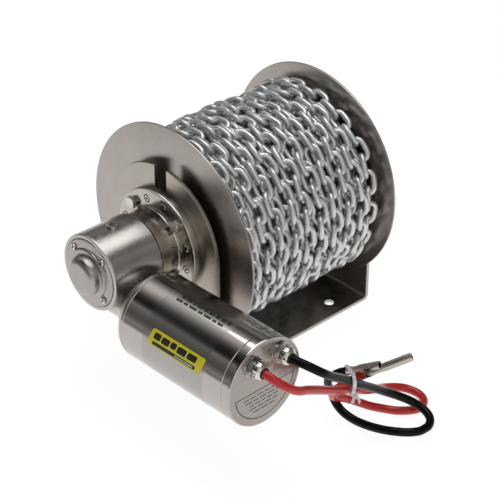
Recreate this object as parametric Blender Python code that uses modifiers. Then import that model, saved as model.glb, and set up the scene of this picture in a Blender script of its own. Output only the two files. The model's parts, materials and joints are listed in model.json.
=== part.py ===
"""Electric drum anchor winch: a folded stainless frame, a flanged drum wound with
rope and chain, a right-angle worm gearbox and a 12 V motor slung across its end.

Metres, +Z up.  The origin is the centre of the base plate's underside.  +X runs
along the drum away from the gearbox, and the motor points along -Y.
"""

import math

import bpy
from mathutils import Vector

MM = 0.001
GAP = 0.3                 # clearance left between neighbouring pieces, mm

# ---- drum and frame ---------------------------------------------------------
AXIS_Z = 138.7            # drum axis above the mounting face
FRAME_X = 116.8           # outer faces of the two uprights
FRAME_Y = 85.7            # half width of the plate, and radius of the upright tops
PLATE = 4.0               # plate thickness
BEND_R = 7.0              # outside bend radius
SLOT = 18.0               # open slots that let the drum shaft drop in
DRUM_R = 125.0            # flange radius
DRUM_T = 2.54             # flange thickness
DRUM_X0 = -103.7          # outer face of the flange on the gearbox side
DRUM_X1 = 110.6           # outer face of the far flange
CORE_R = 38.0
ROPE_R = 101.0            # outside of the rope winding
CHAIN_R = 110.0           # outside of the chain winding
SHAFT_R = 8.0
BASE_HOLE = (74.3, 65.0)  # mounting hole centres
BASE_HOLE_R = 5.5

# ---- gearbox ----------------------------------------------------------------
HOUSE_X0 = -214.4         # rim of the gear housing
HOUSE_X1 = -152.1         # seam to the output housing
HOUSE_R = 42.1
NECK_R = 39.3
FLANGE_R = 60.0
FLANGE_X0 = -125.2
FLANGE_HOLES_R = 49.0
CAVITY_R = 28.4

# ---- motor and worm ---------------------------------------------------------
MOTOR_X = -182.6
MOTOR_Z = 103.6
MOTOR_R = 48.0
MOTOR_Y0 = -57.4          # gearbox end
MOTOR_Y1 = -67.3          # seam of the rear cap
MOTOR_Y2 = -212.6         # seam of the front cap
MOTOR_Y3 = -224.1         # front face
MODULE = 1.25
TEETH = 42                # single-start worm: 42 to 1
WORM_PITCH_R = AXIS_Z - MOTOR_Z - MODULE * TEETH / 2
LEAD = math.pi * MODULE

# ---- cables -----------------------------------------------------------------
GLAND_DX = 18.0
GLAND_Z = 131.5
CABLE_R = 4.5


# ---- helpers ----------------------------------------------------------------
for old in list(bpy.data.objects):
    bpy.data.objects.remove(old, do_unlink=True)

WINCH = bpy.data.collections.new("anchor_drum_winch")
CUTTERS = bpy.data.collections.new("cutters")
bpy.context.scene.collection.children.link(WINCH)
bpy.context.scene.collection.children.link(CUTTERS)


def material(name, colour, roughness, metallic):
    m = bpy.data.materials.new(name)
    m.use_nodes = True
    b = m.node_tree.nodes["Principled BSDF"]
    b.inputs["Base Color"].default_value = (*colour, 1)
    b.inputs["Roughness"].default_value = roughness
    b.inputs["Metallic"].default_value = metallic
    m.diffuse_color = (*colour, 1)
    return m


STAINLESS = ((0.50, 0.47, 0.44), 0.30, 1.0)
POLISHED = ((0.62, 0.61, 0.59), 0.12, 1.0)
CAST = ((0.52, 0.50, 0.48), 0.34, 1.0)
STEEL = ((0.48, 0.48, 0.48), 0.35, 1.0)
BRIGHT = ((0.70, 0.70, 0.69), 0.20, 1.0)
BRONZE = ((0.55, 0.36, 0.16), 0.35, 1.0)
COPPER = ((0.62, 0.28, 0.14), 0.35, 1.0)
NICKEL = ((0.68, 0.66, 0.60), 0.22, 1.0)
ZINC = ((0.60, 0.61, 0.61), 0.45, 1.0)
ROPE = ((0.80, 0.81, 0.83), 0.85, 0.0)
RED = ((0.55, 0.02, 0.02), 0.35, 0.0)
BLACK = ((0.015, 0.015, 0.017), 0.38, 0.0)
RUBBER = ((0.02, 0.02, 0.02), 0.7, 0.0)
FERRITE = ((0.05, 0.05, 0.055), 0.6, 0.0)
PHENOLIC = ((0.18, 0.10, 0.05), 0.6, 0.0)
CLEAR = ((0.80, 0.82, 0.84), 0.3, 0.0)


def empty(name, at):
    e = bpy.data.objects.new(name, None)
    e.location = Vector(at) * MM
    e.empty_display_size = 0.03
    WINCH.objects.link(e)
    return e


FRAME = empty("frame_root", (0, 0, 0))
DRUM = empty("drum_axis", (0, 0, AXIS_Z))
ROTOR = empty("worm_axis", (MOTOR_X, 0, MOTOR_Z))


def adopt(obj, look, body, cutter=False):
    """Puts an object in its collection and gives it its material and parent."""
    if cutter:
        CUTTERS.objects.link(obj)
        obj.hide_render = True
        obj.display_type = "WIRE"
        return obj
    WINCH.objects.link(obj)
    if obj.data.materials:
        obj.data.materials[0] = material(obj.name, *look)
    else:
        obj.data.materials.append(material(obj.name, *look))
    at = obj.location.copy()
    obj.parent = body
    obj.location = at - body.location
    return obj


# rotations that turn local +Z to the wanted axis
ALONG = {"X": (0, math.pi / 2, 0), "Y": (-math.pi / 2, 0, 0), "Z": (0, 0, 0)}
# rotations that stand a drawing in XY up in a world plane
STAND = {"YZ": (math.pi / 2, 0, math.pi / 2), "XZ": (math.pi / 2, 0, 0), "XY": (0, 0, 0)}


def turned(name, outline, axis="X", at=(0, 0, AXIS_Z), steps=48, look=STEEL,
           body=None, cutter=False, phase=0.0):
    """A turned piece.  outline is (place along the axis, radius) in mm."""
    solid = outline[0][1] == 0 and outline[-1][1] == 0
    area = 0.0
    for (a0, r0), (a1, r1) in zip(outline, outline[1:] + outline[:1]):
        area += r0 * a1 - r1 * a0
    if area > 0:
        outline = outline[::-1]
    n = len(outline)
    edges = [(i, i + 1) for i in range(n - 1)]
    if not solid:
        edges.append((n - 1, 0))
    mesh = bpy.data.meshes.new(name)
    mesh.from_pydata([(r * MM, 0, a * MM) for a, r in outline], edges, [])
    obj = bpy.data.objects.new(name, mesh)
    obj.location = Vector(at) * MM
    obj.rotation_euler = ALONG[axis]
    if phase:
        obj.rotation_euler.rotate_axis("Z", phase)
    s = obj.modifiers.new("turn", "SCREW")
    s.axis = "Z"
    s.angle = 2 * math.pi
    s.steps = s.render_steps = steps
    s.use_merge_vertices = True
    s.merge_threshold = 1e-5
    s.use_smooth_shade = False
    return adopt(obj, look, body or FRAME, cutter)


def drawn(name, outlines, depth, plane, at, look=STEEL, body=None, cutter=False,
          spin=0.0):
    """A flat outline, with any holes after it, extruded to depth about at."""
    curve = bpy.data.curves.new(name + "_outline", "CURVE")
    curve.dimensions = "2D"
    curve.fill_mode = "BOTH"
    curve.extrude = depth * MM / 2
    for outline in outlines:
        s = curve.splines.new("POLY")
        s.points.add(len(outline) - 1)
        for p, (u, v) in zip(s.points, outline):
            p.co = (u * MM, v * MM, 0, 1)
        s.use_cyclic_u = True
    obj = bpy.data.objects.new(name + "_outline", curve)
    obj.location = Vector(at) * MM
    obj.rotation_euler = STAND[plane]
    if spin:
        obj.rotation_euler.rotate_axis("Z", spin)
    return meshed(name, obj, look, body, cutter)


def meshed(name, curve_obj, look, body, cutter=False):
    """Turns a curve object into a welded mesh object in the same place."""
    import bmesh

    bpy.context.scene.collection.objects.link(curve_obj)
    bpy.context.view_layer.update()
    graph = bpy.context.evaluated_depsgraph_get()
    mesh = bpy.data.meshes.new_from_object(curve_obj.evaluated_get(graph))
    mesh.name = name
    bm = bmesh.new()
    bm.from_mesh(mesh)
    bmesh.ops.remove_doubles(bm, verts=bm.verts, dist=1e-6)
    bmesh.ops.recalc_face_normals(bm, faces=bm.faces)
    bm.to_mesh(mesh)
    bm.free()
    obj = bpy.data.objects.new(name, mesh)
    matrix = curve_obj.matrix_world.copy()
    bpy.data.objects.remove(curve_obj, do_unlink=True)
    obj.matrix_world = matrix
    return adopt(obj, look, body or FRAME, cutter)


def block(name, size, at, look=STEEL, body=None, cutter=False, bevel=0.0):
    import bmesh

    bm = bmesh.new()
    bmesh.ops.create_cube(bm, size=1)
    bmesh.ops.scale(bm, vec=Vector(size) * MM, verts=bm.verts)
    mesh = bpy.data.meshes.new(name)
    bm.to_mesh(mesh)
    bm.free()
    obj = bpy.data.objects.new(name, mesh)
    obj.location = Vector(at) * MM
    if bevel:
        b = obj.modifiers.new("edges", "BEVEL")
        b.width = bevel * MM
        b.segments = 1
    return adopt(obj, look, body or FRAME, cutter)


def drills(name, holes):
    """One cutter of separate cylinders: (centre, axis, radius, length) each."""
    import bmesh
    from mathutils import Euler, Matrix

    bm = bmesh.new()
    for at, axis, r, length in holes:
        turn = Matrix.Translation(Vector(at) * MM) @ Euler(ALONG[axis]).to_matrix().to_4x4()
        bmesh.ops.create_cone(bm, cap_ends=True, segments=8, radius1=r * MM,
                              radius2=r * MM, depth=length * MM, matrix=turn)
    mesh = bpy.data.meshes.new(name)
    bm.to_mesh(mesh)
    bm.free()
    return adopt(bpy.data.objects.new(name, mesh), None, None, cutter=True)


def boolean(obj, other, how="DIFFERENCE"):
    m = obj.modifiers.new(how.lower() + "_" + other.name, "BOOLEAN")
    m.operation = how
    m.solver = "EXACT"
    m.object = other
    return obj


def smooth(obj, angle=35):
    mesh = obj.data
    if mesh.polygons:
        mesh.shade_smooth()
        mesh.set_sharp_from_angle(angle=math.radians(angle))


def arc(cu, cv, r, a0, a1, n):
    """Points on an arc, angles in degrees."""
    return [(cu + r * math.cos(math.radians(a0 + (a1 - a0) * i / n)),
             cv + r * math.sin(math.radians(a0 + (a1 - a0) * i / n)))
            for i in range(n + 1)]


def ring(name, x0, x1, r1, r0, **kw):
    """A plain ring between two places along its axis."""
    return turned(name, [(x0, r1), (x1, r1), (x1, r0), (x0, r0)], **kw)


def cap_screw(name, x_head, head_len, head_r, shank_r, x_end, y, z, flats=6,
              look=BRIGHT, body=None):
    """A screw along +X: head from x_head, shank to x_end."""
    x1 = x_head + head_len
    head = turned(name, [(x_head, 0), (x_head, head_r), (x1, head_r), (x1, shank_r),
                         (x_end, shank_r), (x_end, 0)],
                  at=(0, y, z), steps=flats, look=look, body=body)
    return head


# ---- frame ------------------------------------------------------------------
def make_frame():
    t, r, top = PLATE, BEND_R, AXIS_Z + FRAME_Y + 6
    section = [(-FRAME_X, top)]
    section += arc(-FRAME_X + r, r, r, 180, 270, 5)
    section += arc(FRAME_X - r, r, r, 270, 360, 5)
    section += [(FRAME_X, top), (FRAME_X - t, top)]
    section += arc(FRAME_X - r, r, r - t, 360, 270, 4)
    section += arc(-FRAME_X + r, r, r - t, 270, 180, 4)
    section += [(-FRAME_X + t, top)]
    frame = drawn("base_frame", [section], 2 * FRAME_Y + 12, "XZ", (0, 0, 0), look=STAINLESS)
    tomb = [(-FRAME_Y, -9)] + [(FRAME_Y, -9)] + arc(0, AXIS_Z, FRAME_Y, 0, 180, 32)
    boolean(frame, drawn("frame_outline", [tomb], 2 * FRAME_X + 30, "YZ", (0, 0, 0), cutter=True),
            "INTERSECT")
    slot = arc(0, AXIS_Z, SLOT / 2, 180, 360, 12) + [(SLOT / 2, AXIS_Z + 100), (-SLOT / 2, AXIS_Z + 100)]
    boolean(frame, drawn("shaft_slots", [slot], 2 * FRAME_X + 40, "YZ", (0, 0, 0), cutter=True))
    holes = []
    for sx in (-1, 1):
        for sy in (-1, 1):
            holes.append(((sx * BASE_HOLE[0], sy * BASE_HOLE[1], PLATE / 2), "Z", BASE_HOLE_R, PLATE + 8))
    for i in range(12):
        a = math.radians(15 + 30 * i)
        r = 4.3 if i % 3 == 1 else 2.8
        holes.append(((-FRAME_X + PLATE / 2, FLANGE_HOLES_R * math.sin(a), AXIS_Z + FLANGE_HOLES_R * math.cos(a)),
                      "X", r, PLATE + 6))
    for s in (-1, 1):
        holes.append(((FRAME_X - PLATE / 2, s * 24, AXIS_Z), "X", 3.3, PLATE + 6))
    boolean(frame, drills("frame_holes", holes))
    smooth(frame)


# ---- drum -------------------------------------------------------------------
def make_drum():
    g = GAP
    t = DRUM_T
    for name, x0, s in (("drum_flange_near", DRUM_X0, 1), ("drum_flange_far", DRUM_X1, -1)):
        ring(name, x0, x0 + s * t, DRUM_R, SHAFT_R + g, steps=64, look=STAINLESS, body=DRUM)
    a, b = DRUM_X0 + t + g, DRUM_X1 - t - g
    ring("drum_core", a, b, CORE_R, CORE_R - 3, look=STAINLESS, body=DRUM, steps=32)
    ring("rope_winding", a, b, ROPE_R, CORE_R + g, look=ROPE, body=DRUM, steps=32)
    ring("chain_winding", a, b, CHAIN_R, ROPE_R + g, look=ZINC, body=DRUM, steps=48)
    shaft = turned("drum_shaft", [(-217, 0), (-217, 7), (-216, SHAFT_R), (123, SHAFT_R), (124, 7), (124, 0)],
                   steps=24, look=BRIGHT, body=DRUM)
    boolean(shaft, block("key_seat", (18.6, 5.6, 5), (MOTOR_X, 0, AXIS_Z + SHAFT_R - 0.3), cutter=True))
    block("wheel_key", (18, 5, 4.4), (MOTOR_X, 0, AXIS_Z + SHAFT_R), look=STEEL, body=DRUM)
    # Worm wheel: 42 teeth, one gap over the worm at rest, thinned for backlash.
    # The origin of each tooth is its centre line.
    r_p = MODULE * TEETH / 2
    tip, root = r_p + MODULE * 0.9, r_p - MODULE * 1.25
    outline = []
    for i in range(TEETH):
        c = -math.pi / 2 + (i + 0.5) * 2 * math.pi / TEETH
        for r, w in ((root, 1.75), (tip, 0.85)):
            outline.append((c - w / 2 / r, r))
        for r, w in ((tip, 0.85), (root, 1.75)):
            outline.append((c + w / 2 / r, r))
    pts = [(r * math.cos(a), r * math.sin(a)) for a, r in outline]
    bore = arc(0, 0, 12, 0, 360, 24)[:-1]
    wheel = drawn("worm_wheel", [pts, bore], 11, "YZ", (MOTOR_X, 0, AXIS_Z), look=BRONZE, body=DRUM)
    boolean(wheel, ring("wheel_hub_blank", MOTOR_X - 10, MOTOR_X + 10, 14.5, SHAFT_R + g, steps=24, cutter=True),
            "UNION")
    boolean(wheel, block("wheel_keyway", (30, 5.6, 6), (MOTOR_X, 0, AXIS_Z + SHAFT_R + 0.3), cutter=True))
    smooth(wheel)


# ---- gearbox ----------------------------------------------------------------
def make_gearbox():
    g = GAP
    motor_at = (MOTOR_X, 0, MOTOR_Z)
    # output housing: bolting flange, neck, bearing seat and seal seat
    out = turned("output_housing", [
        (HOUSE_X1 - 4, CAVITY_R - g), (HOUSE_X1 + g / 2, CAVITY_R - g), (HOUSE_X1 + g / 2, NECK_R),
        (FLANGE_X0 - 2.5, NECK_R), (FLANGE_X0, NECK_R + 2.5),
        (FLANGE_X0, FLANGE_R - 1.0), (FLANGE_X0 + 1.0, FLANGE_R),
        (-FRAME_X - g, FLANGE_R), (-FRAME_X - g, 15.3), (-FRAME_X - 9, 15.3), (-FRAME_X - 9, 11),
        (HOUSE_X1 + 14, 11), (HOUSE_X1 + 14, 18.3), (HOUSE_X1 - 4, 18.3)], steps=36, look=STAINLESS)
    holes = []
    for i in range(12):
        a = math.radians(15 + 30 * i)
        y, z = FLANGE_HOLES_R * math.sin(a), AXIS_Z + FLANGE_HOLES_R * math.cos(a)
        xm = (FLANGE_X0 - FRAME_X) / 2
        if i % 3 == 1:
            holes.append(((xm, y, z), "X", 4.3, 20))
        else:
            holes.append(((xm, y, z), "X", 2.8, 20))
    boolean(out, drills("flange_holes", holes))
    sinks = [((FLANGE_X0, FLANGE_HOLES_R * math.sin(math.radians(15 + 30 * i)),
               AXIS_Z + FLANGE_HOLES_R * math.cos(math.radians(15 + 30 * i))), "X", 4.9, 8.4)
             for i in range(12) if i % 3 != 1]
    boolean(out, drills("flange_sinks", sinks))
    for i in range(12):
        a = math.radians(15 + 30 * i)
        y, z = FLANGE_HOLES_R * math.sin(a), AXIS_Z + FLANGE_HOLES_R * math.cos(a)
        if i % 3 == 1:
            cap_screw("flange_bolt_%d" % (i // 3 + 1), FLANGE_X0 - g - 5.5, 5.5, 7.3, 4.0, -FRAME_X + PLATE + 2, y, z)
        else:
            k = [j for j in range(12) if j % 3 != 1].index(i) + 1
            cap_screw("flange_screw_%d" % k, FLANGE_X0 - 0.6, 4.4, 4.4, 2.5, -FRAME_X + PLATE, y, z, flats=10)

    # gear housing: a cylinder along the drum axis with the worm tunnel under it
    house = turned("gear_housing", [(HOUSE_X0, 0), (HOUSE_X0, HOUSE_R - 1.2), (HOUSE_X0 + 1.2, HOUSE_R),
                                    (HOUSE_X1 - g / 2, HOUSE_R), (HOUSE_X1 - g / 2, 0)], steps=44, look=CAST)
    tunnel = turned("worm_tunnel", [(MOTOR_Y0 + g, 0), (MOTOR_Y0 + g, 39), (MOTOR_Y0 + 5, 39.5),
                                    (MOTOR_Y0 + 12, 31), (MOTOR_Y0 + 24, 24), (MOTOR_Y0 + 34, 21.5),
                                    (40, 21.5), (43, 18.5), (43, 0)],
                    axis="Y", at=motor_at, steps=28, phase=0.031, cutter=True)
    boolean(house, tunnel, "UNION")
    spot = turned("plug_spotface", [(HOUSE_R - 0.7, 0), (HOUSE_R - 0.7, 8.2), (HOUSE_R + 8, 8.2), (HOUSE_R + 8, 0)],
                  axis="Z", at=(MOTOR_X, 0, AXIS_Z), steps=24, cutter=True)
    boolean(house, spot)
    bore = turned("gear_cavity", [(HOUSE_X0 - 5, 0), (HOUSE_X0 - 5, 37.9), (HOUSE_X0 + 7.3, 37.9),
                                  (HOUSE_X0 + 7.3, CAVITY_R), (HOUSE_X1 + 5, CAVITY_R), (HOUSE_X1 + 5, 0)],
                  steps=32, phase=0.023, cutter=True)
    boolean(house, bore)
    worm_bore = turned("worm_bore", [(MOTOR_Y0 - 5, 0), (MOTOR_Y0 - 5, 13), (35, 13), (35, 0)],
                       axis="Y", at=motor_at, steps=20, phase=0.017, cutter=True)
    boolean(house, worm_bore)
    screws = [((HOUSE_X0 + 12, 31.6 * sy * math.sqrt(0.5), AXIS_Z + 31.6 * sz * math.sqrt(0.5)), "X", 1.8, 14)
              for sy in (-1, 1) for sz in (-1, 1)]
    screws.append(((MOTOR_X, 0, AXIS_Z + 35), "Z", 4.3, 20))
    boolean(house, drills("housing_holes", screws))

    # cover plate with its boss ring and round dome over the shaft end
    x = HOUSE_X0 - 1.0
    dome = arc(x - 5.0, 12.0, 8.8, 180, 90, 4)
    cover = turned("housing_cover", [
        (x - 13.8, 0)] + [(a, r) for a, r in dome] + [
        (x - 2.2, 21.5), (x - 2.0, 27.0), (x, 27.6), (x, 37.0), (x + 0.5, 37.5), (x + 8.0, 37.5),
        (x + 8.0, 28.0), (x + 11.6, 28.0), (x + 11.6, 18.3), (x - 3.0, 18.3), (x - 3.0, 10), (x - 7.5, 10),
        (x - 7.5, 0)], steps=28, look=CAST)
    holes = [((x + 4.0, 31.6 * sy * math.sqrt(0.5), AXIS_Z + 31.6 * sz * math.sqrt(0.5)), "X", 1.8, 16)
             for sy in (-1, 1) for sz in (-1, 1)]
    boolean(cover, drills("cover_holes", holes))
    k = 0
    for sy in (-1, 1):
        for sz in (-1, 1):
            k += 1
            cap_screw("cover_screw_%d" % k, x - g - 2.4, 2.4, 3.4, 1.5, x + 17,
                      31.6 * sy * math.sqrt(0.5), AXIS_Z + 31.6 * sz * math.sqrt(0.5), flats=10)
    turned("oil_plug", [(CAVITY_R + 3, 0), (CAVITY_R + 3, 4.0), (HOUSE_R - 0.4, 4.0), (HOUSE_R - 0.4, 6.2),
                        (HOUSE_R + 1.6, 6.2), (HOUSE_R + 2.2, 5.6), (HOUSE_R + 2.2, 2.5), (HOUSE_R - 0.2, 2.5),
                        (HOUSE_R - 0.2, 0)], axis="Z", at=(MOTOR_X, 0, AXIS_Z), steps=12, look=BRIGHT)
    # bearings and seal on the drum shaft
    ring("output_bearing_cover", x + 0.3, x + 10.6, 18.0, SHAFT_R + g, steps=24, look=BRIGHT)
    ring("output_bearing_neck", HOUSE_X1 + 3.7, HOUSE_X1 + 13.7, 18.0, SHAFT_R + g, steps=24, look=BRIGHT)
    ring("output_seal", -FRAME_X - 8.7, -FRAME_X - 1.2, 15.0, SHAFT_R + g, steps=24, look=RUBBER)
    # bearings on the worm shaft
    for name, y0 in (("worm_bearing_drive", -38.0), ("worm_bearing_end", 26.0)):
        ring(name, y0, y0 + 8, 12.7, 6.3, axis="Y", at=motor_at, steps=20, look=BRIGHT)


# ---- worm and armature ------------------------------------------------------
def make_rotor():
    import bmesh

    at = (MOTOR_X, 0, MOTOR_Z)
    core = WORM_PITCH_R - MODULE * 1.3
    shaft = turned("worm_shaft", [(34.5, 0), (34.5, 6), (21, 6), (20, core), (-20, core), (-21, 6),
                                  (-219.5, 6), (-219.5, 0)],
                   axis="Y", at=at, steps=16, look=STEEL, body=ROTOR)
    # one thread section, carried round as a helix and closed at both ends
    tip = WORM_PITCH_R + MODULE * 0.9
    section = [(core - 1.2, 0.85), (tip, 0.32), (tip, -0.32), (core - 1.2, -0.85)]
    turns = 7
    mesh = bpy.data.meshes.new("worm_thread")
    start = -turns * LEAD / 2
    mesh.from_pydata([(r * MM, 0, (a + start) * MM) for r, a in section], [(0, 1), (1, 2), (2, 3), (3, 0)], [])
    blank = bpy.data.objects.new("worm_thread_blank", mesh)
    s = blank.modifiers.new("helix", "SCREW")
    s.axis = "Z"
    s.angle = 2 * math.pi
    s.screw_offset = LEAD * MM
    s.iterations = turns
    s.steps = s.render_steps = 12
    s.use_merge_vertices = False
    bpy.context.scene.collection.objects.link(blank)
    bpy.context.view_layer.update()
    graph = bpy.context.evaluated_depsgraph_get()
    whole = bpy.data.meshes.new_from_object(blank.evaluated_get(graph))
    bpy.data.objects.remove(blank, do_unlink=True)
    bm = bmesh.new()
    bm.from_mesh(whole)
    bmesh.ops.remove_doubles(bm, verts=bm.verts, dist=1e-6)
    bmesh.ops.holes_fill(bm, edges=[e for e in bm.edges if e.is_boundary], sides=8)
    bmesh.ops.recalc_face_normals(bm, faces=bm.faces)
    bm.to_mesh(whole)
    bm.free()
    thread = bpy.data.objects.new("worm_thread", whole)
    thread.location = Vector(at) * MM
    thread.rotation_euler = ALONG["Y"]
    # the thread crosses the wheel's plane in the middle of a tooth gap
    thread.rotation_euler.rotate_axis("Z", THREAD_PHASE)
    adopt(thread, None, None, cutter=True)
    boolean(shaft, thread, "UNION")

    slots = []
    for i in range(12):
        c = i * 30
        slots += arc(0, 0, 36.5, c - 11.5, c + 11.5, 3)
        slots += [(29 * math.cos(math.radians(c + 12.5)), 29 * math.sin(math.radians(c + 12.5))),
                  (29 * math.cos(math.radians(c + 17.5)), 29 * math.sin(math.radians(c + 17.5)))]
    bore = arc(0, 0, 6.3, 0, 360, 20)[:-1]
    drawn("armature_core", [slots, bore], 84, "XZ", (MOTOR_X, -140, MOTOR_Z), look=STEEL, body=ROTOR)
    turned("armature_winding", [(-98 + GAP, 6.3), (-98 + GAP, 31), (-90, 28), (-87, 18), (-87, 6.3)],
           axis="Y", at=at, steps=24, look=COPPER, body=ROTOR)
    ring("commutator", -206, -190, 14.0, 6.3, axis="Y", at=at, steps=24, look=COPPER, body=ROTOR)


# The worm's thread starts on its local +X, which the turn to +Y leaves along +X.
# With 7 turns the thread's middle crosses +X at y = 0; the quarter turn below
# brings the crossing at y = 0 to +Z, under the wheel.
THREAD_PHASE = math.radians(90)


# ---- motor ------------------------------------------------------------------
def make_motor():
    g = GAP
    at = (MOTOR_X, 0, MOTOR_Z)
    r = MOTOR_R
    rear = [(MOTOR_Y1 - g / 2, r)] + [(a, q) for a, q in arc(MOTOR_Y0 - 7, r - 7, 7, 90, 0, 3)] + \
           [(MOTOR_Y0, 6.3), (MOTOR_Y1 - g / 2, 6.3)]
    turned("motor_rear_cap", rear, axis="Y", at=at, steps=40, look=POLISHED)
    ring("motor_can", MOTOR_Y2 + g / 2, MOTOR_Y1 - g - g / 2, r, r - 3.2, axis="Y", at=at, steps=40, look=POLISHED)
    front = turned("motor_front_cap", [
        (MOTOR_Y2 - g / 2, 43.5), (MOTOR_Y2 - g / 2, r), (MOTOR_Y3 + 2.0, r), (MOTOR_Y3 + 0.6, r - 0.6),
        (MOTOR_Y3, r - 2.0), (MOTOR_Y3, 0), (MOTOR_Y3 + 3.0, 0), (MOTOR_Y3 + 3.0, 11.3), (MOTOR_Y2 - g / 2, 11.3)],
        axis="Y", at=at, steps=40, look=CAST)
    boolean(front, drills("gland_holes", [((MOTOR_X + s * GLAND_DX, MOTOR_Y3 + 5, GLAND_Z), "Y", 6.9, 30)
                                          for s in (-1, 1)]))
    ring("motor_front_bearing", MOTOR_Y3 + 3.3, MOTOR_Y2 - g, 11.0, 6.3, axis="Y", at=at, steps=20, look=BRIGHT)
    for name, mid in (("magnet_upper", 90), ("magnet_lower", 270)):
        out = arc(0, 0, r - 3.5, mid - 62, mid + 62, 12) + arc(0, 0, 38.2, mid + 62, mid - 62, 12)
        drawn(name, [out], 92, "XZ", (MOTOR_X, -140, MOTOR_Z), look=FERRITE)
    plate = ring("brush_plate", -207, -203.5, r - 3.6, 15.5, axis="Y", at=at, steps=32, look=PHENOLIC)
    boolean(plate, drills("plate_holes", [((MOTOR_X + s * GLAND_DX, -205, GLAND_Z), "Y", 6.4, 20) for s in (-1, 1)]))
    for name, s in (("brush_positive", -1), ("brush_negative", 1)):
        block(name, (12, 8, 9), (MOTOR_X + s * (14.0 + g + 6.2), -199.0, MOTOR_Z), look=FERRITE)


# ---- far bearing ------------------------------------------------------------
def make_far_bearing():
    g = GAP
    x = FRAME_X + g
    body = turned("far_bearing_housing", [
        (x, 12.3), (x, 17), (x, 31), (x + 1, 32), (x + 5, 32), (x + 6, 31), (x + 6, 18.5),
        (x + 13, 17.5), (x + 14.5, 15.5), (x + 14.5, 0), (x + 12, 0), (x + 12, 12.3)], steps=24, look=CAST)
    boolean(body, drills("far_holes", [((x + 3, s * 24, AXIS_Z), "X", 3.3, 16) for s in (-1, 1)]))
    ring("far_bush", x + 0.2, x + 11.2, 12.0, SHAFT_R + g, steps=24, look=BRONZE)
    for k, s in ((1, -1), (2, 1)):
        # heads outside, shanks inwards
        turned("far_bolt_%d" % k, [(x + 6 + g + 4.5, 0), (x + 6 + g + 4.5, 5.0), (x + 6 + g + 3.9, 5.6), (x + 6 + g, 5.6),
                                   (x + 6 + g, 3.0), (FRAME_X - PLATE - 0.2, 3.0), (FRAME_X - PLATE - 0.2, 0)],
               at=(0, s * 24, AXIS_Z), steps=6, look=BRIGHT)


# ---- glands, cables, connectors --------------------------------------------
def smooth_route(points, spacing):
    """Evenly spaced points on the smooth curve through the route's points."""
    p = [Vector(q) for q in points]
    p = [2 * p[0] - p[1]] + p + [2 * p[-1] - p[-2]]
    dense = []
    for i in range(1, len(p) - 2):
        p0, p1, p2, p3 = p[i - 1:i + 3]
        t1 = (p1 - p0).length ** 0.5
        t2 = t1 + (p2 - p1).length ** 0.5
        t3 = t2 + (p3 - p2).length ** 0.5
        for j in range(24):
            t = t1 + (t2 - t1) * j / 24
            a1 = (t1 - t) / t1 * p0 + t / t1 * p1
            a2 = (t2 - t) / (t2 - t1) * p1 + (t - t1) / (t2 - t1) * p2
            a3 = (t3 - t) / (t3 - t2) * p2 + (t - t2) / (t3 - t2) * p3
            b1 = (t2 - t) / t2 * a1 + t / t2 * a2
            b2 = (t3 - t) / (t3 - t1) * a2 + (t - t1) / (t3 - t1) * a3
            dense.append((t2 - t) / (t2 - t1) * b1 + (t - t1) / (t2 - t1) * b2)
    dense.append(p[-2])
    run = [0.0]
    for a, b in zip(dense, dense[1:]):
        run.append(run[-1] + (b - a).length)
    n = max(2, round(run[-1] / spacing))
    out, j = [], 0
    for i in range(n + 1):
        s = run[-1] * i / n
        while j < len(run) - 2 and run[j + 1] < s:
            j += 1
        f = (s - run[j]) / max(1e-9, run[j + 1] - run[j])
        out.append(dense[j].lerp(dense[j + 1], min(1, f)))
    return out


def tube(name, points, radius, look, resolution=2):
    curve = bpy.data.curves.new(name, "CURVE")
    curve.dimensions = "3D"
    curve.bevel_depth = radius * MM
    curve.bevel_resolution = resolution
    curve.use_fill_caps = True
    s = curve.splines.new("POLY")
    s.points.add(len(points) - 1)
    for p, q in zip(s.points, points):
        p.co = (*(Vector(q) * MM), 1)
    return adopt(bpy.data.objects.new(name, curve), look, FRAME)


# Routes of the two cables, mm: out of the gland, down to the surface the winch
# stands on, once round in a flat loop and back under the tie to a crimped tube.
RED_ROUTE = [
    (-200.6, -242, 131.5), (-194.5, -257, 124.5), (-179, -262.5, 112), (-159, -260.5, 101.5),
    (-141, -258.5, 91.5), (-124, -256.5, 81.5), (-105.5, -253.5, 71.5), (-84.5, -249, 58.5),
    (-62.5, -243, 44), (-39.5, -238, 30.5), (-14, -231.5, 17), (8.5, -238.5, 8.5),
    (15, -253, 5.5), (9.5, -265, 5), (-4, -269.5, 5), (-23, -259.5, 6.5),
    (-31.5, -243, 5), (-39, -232.5, 6.5), (-48.5, -224.5, 12), (-61.5, -219, 20),
    (-82, -220, 35), (-85.5, -234.5, 56), (-73, -245, 66)]
BLACK_ROUTE = [
    (-164.6, -242, 131.5), (-159.5, -259, 129), (-150.5, -267, 122), (-132, -266.5, 107),
    (-108.5, -263, 90), (-85.5, -260, 71.5), (-63, -257.5, 54.5), (-43, -257.5, 39.5),
    (-28.5, -261.5, 29.5), (-17.5, -267.5, 21.5), (-12, -277, 16.5), (-12, -288.5, 13),
    (-18, -297.5, 11.5), (-31, -302.5, 11), (-47.5, -298, 13), (-58.5, -287, 13.5),
    (-64.5, -272.5, 11.5), (-67, -254, 8), (-67.5, -236.5, 6), (-68, -221, 8.5),
    (-68.5, -211.5, 15.5), (-70.5, -207.5, 27), (-81.5, -213, 50), (-81, -228, 67)]
RED_TUBE_END = (-36, -283, 93)
BLACK_TUBE_END = (-64.5, -266.3, 88)
TUBE_R = 4.3              # crimped tube on each cable's end
TUBE_BORE = 3.3
TIE_AT = (-91, -254, 72)
TIE_ALONG = (0.80, -0.56, 0.10)
TIE_WIDTH = 3.6
TIE_WALL = 1.3


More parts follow.
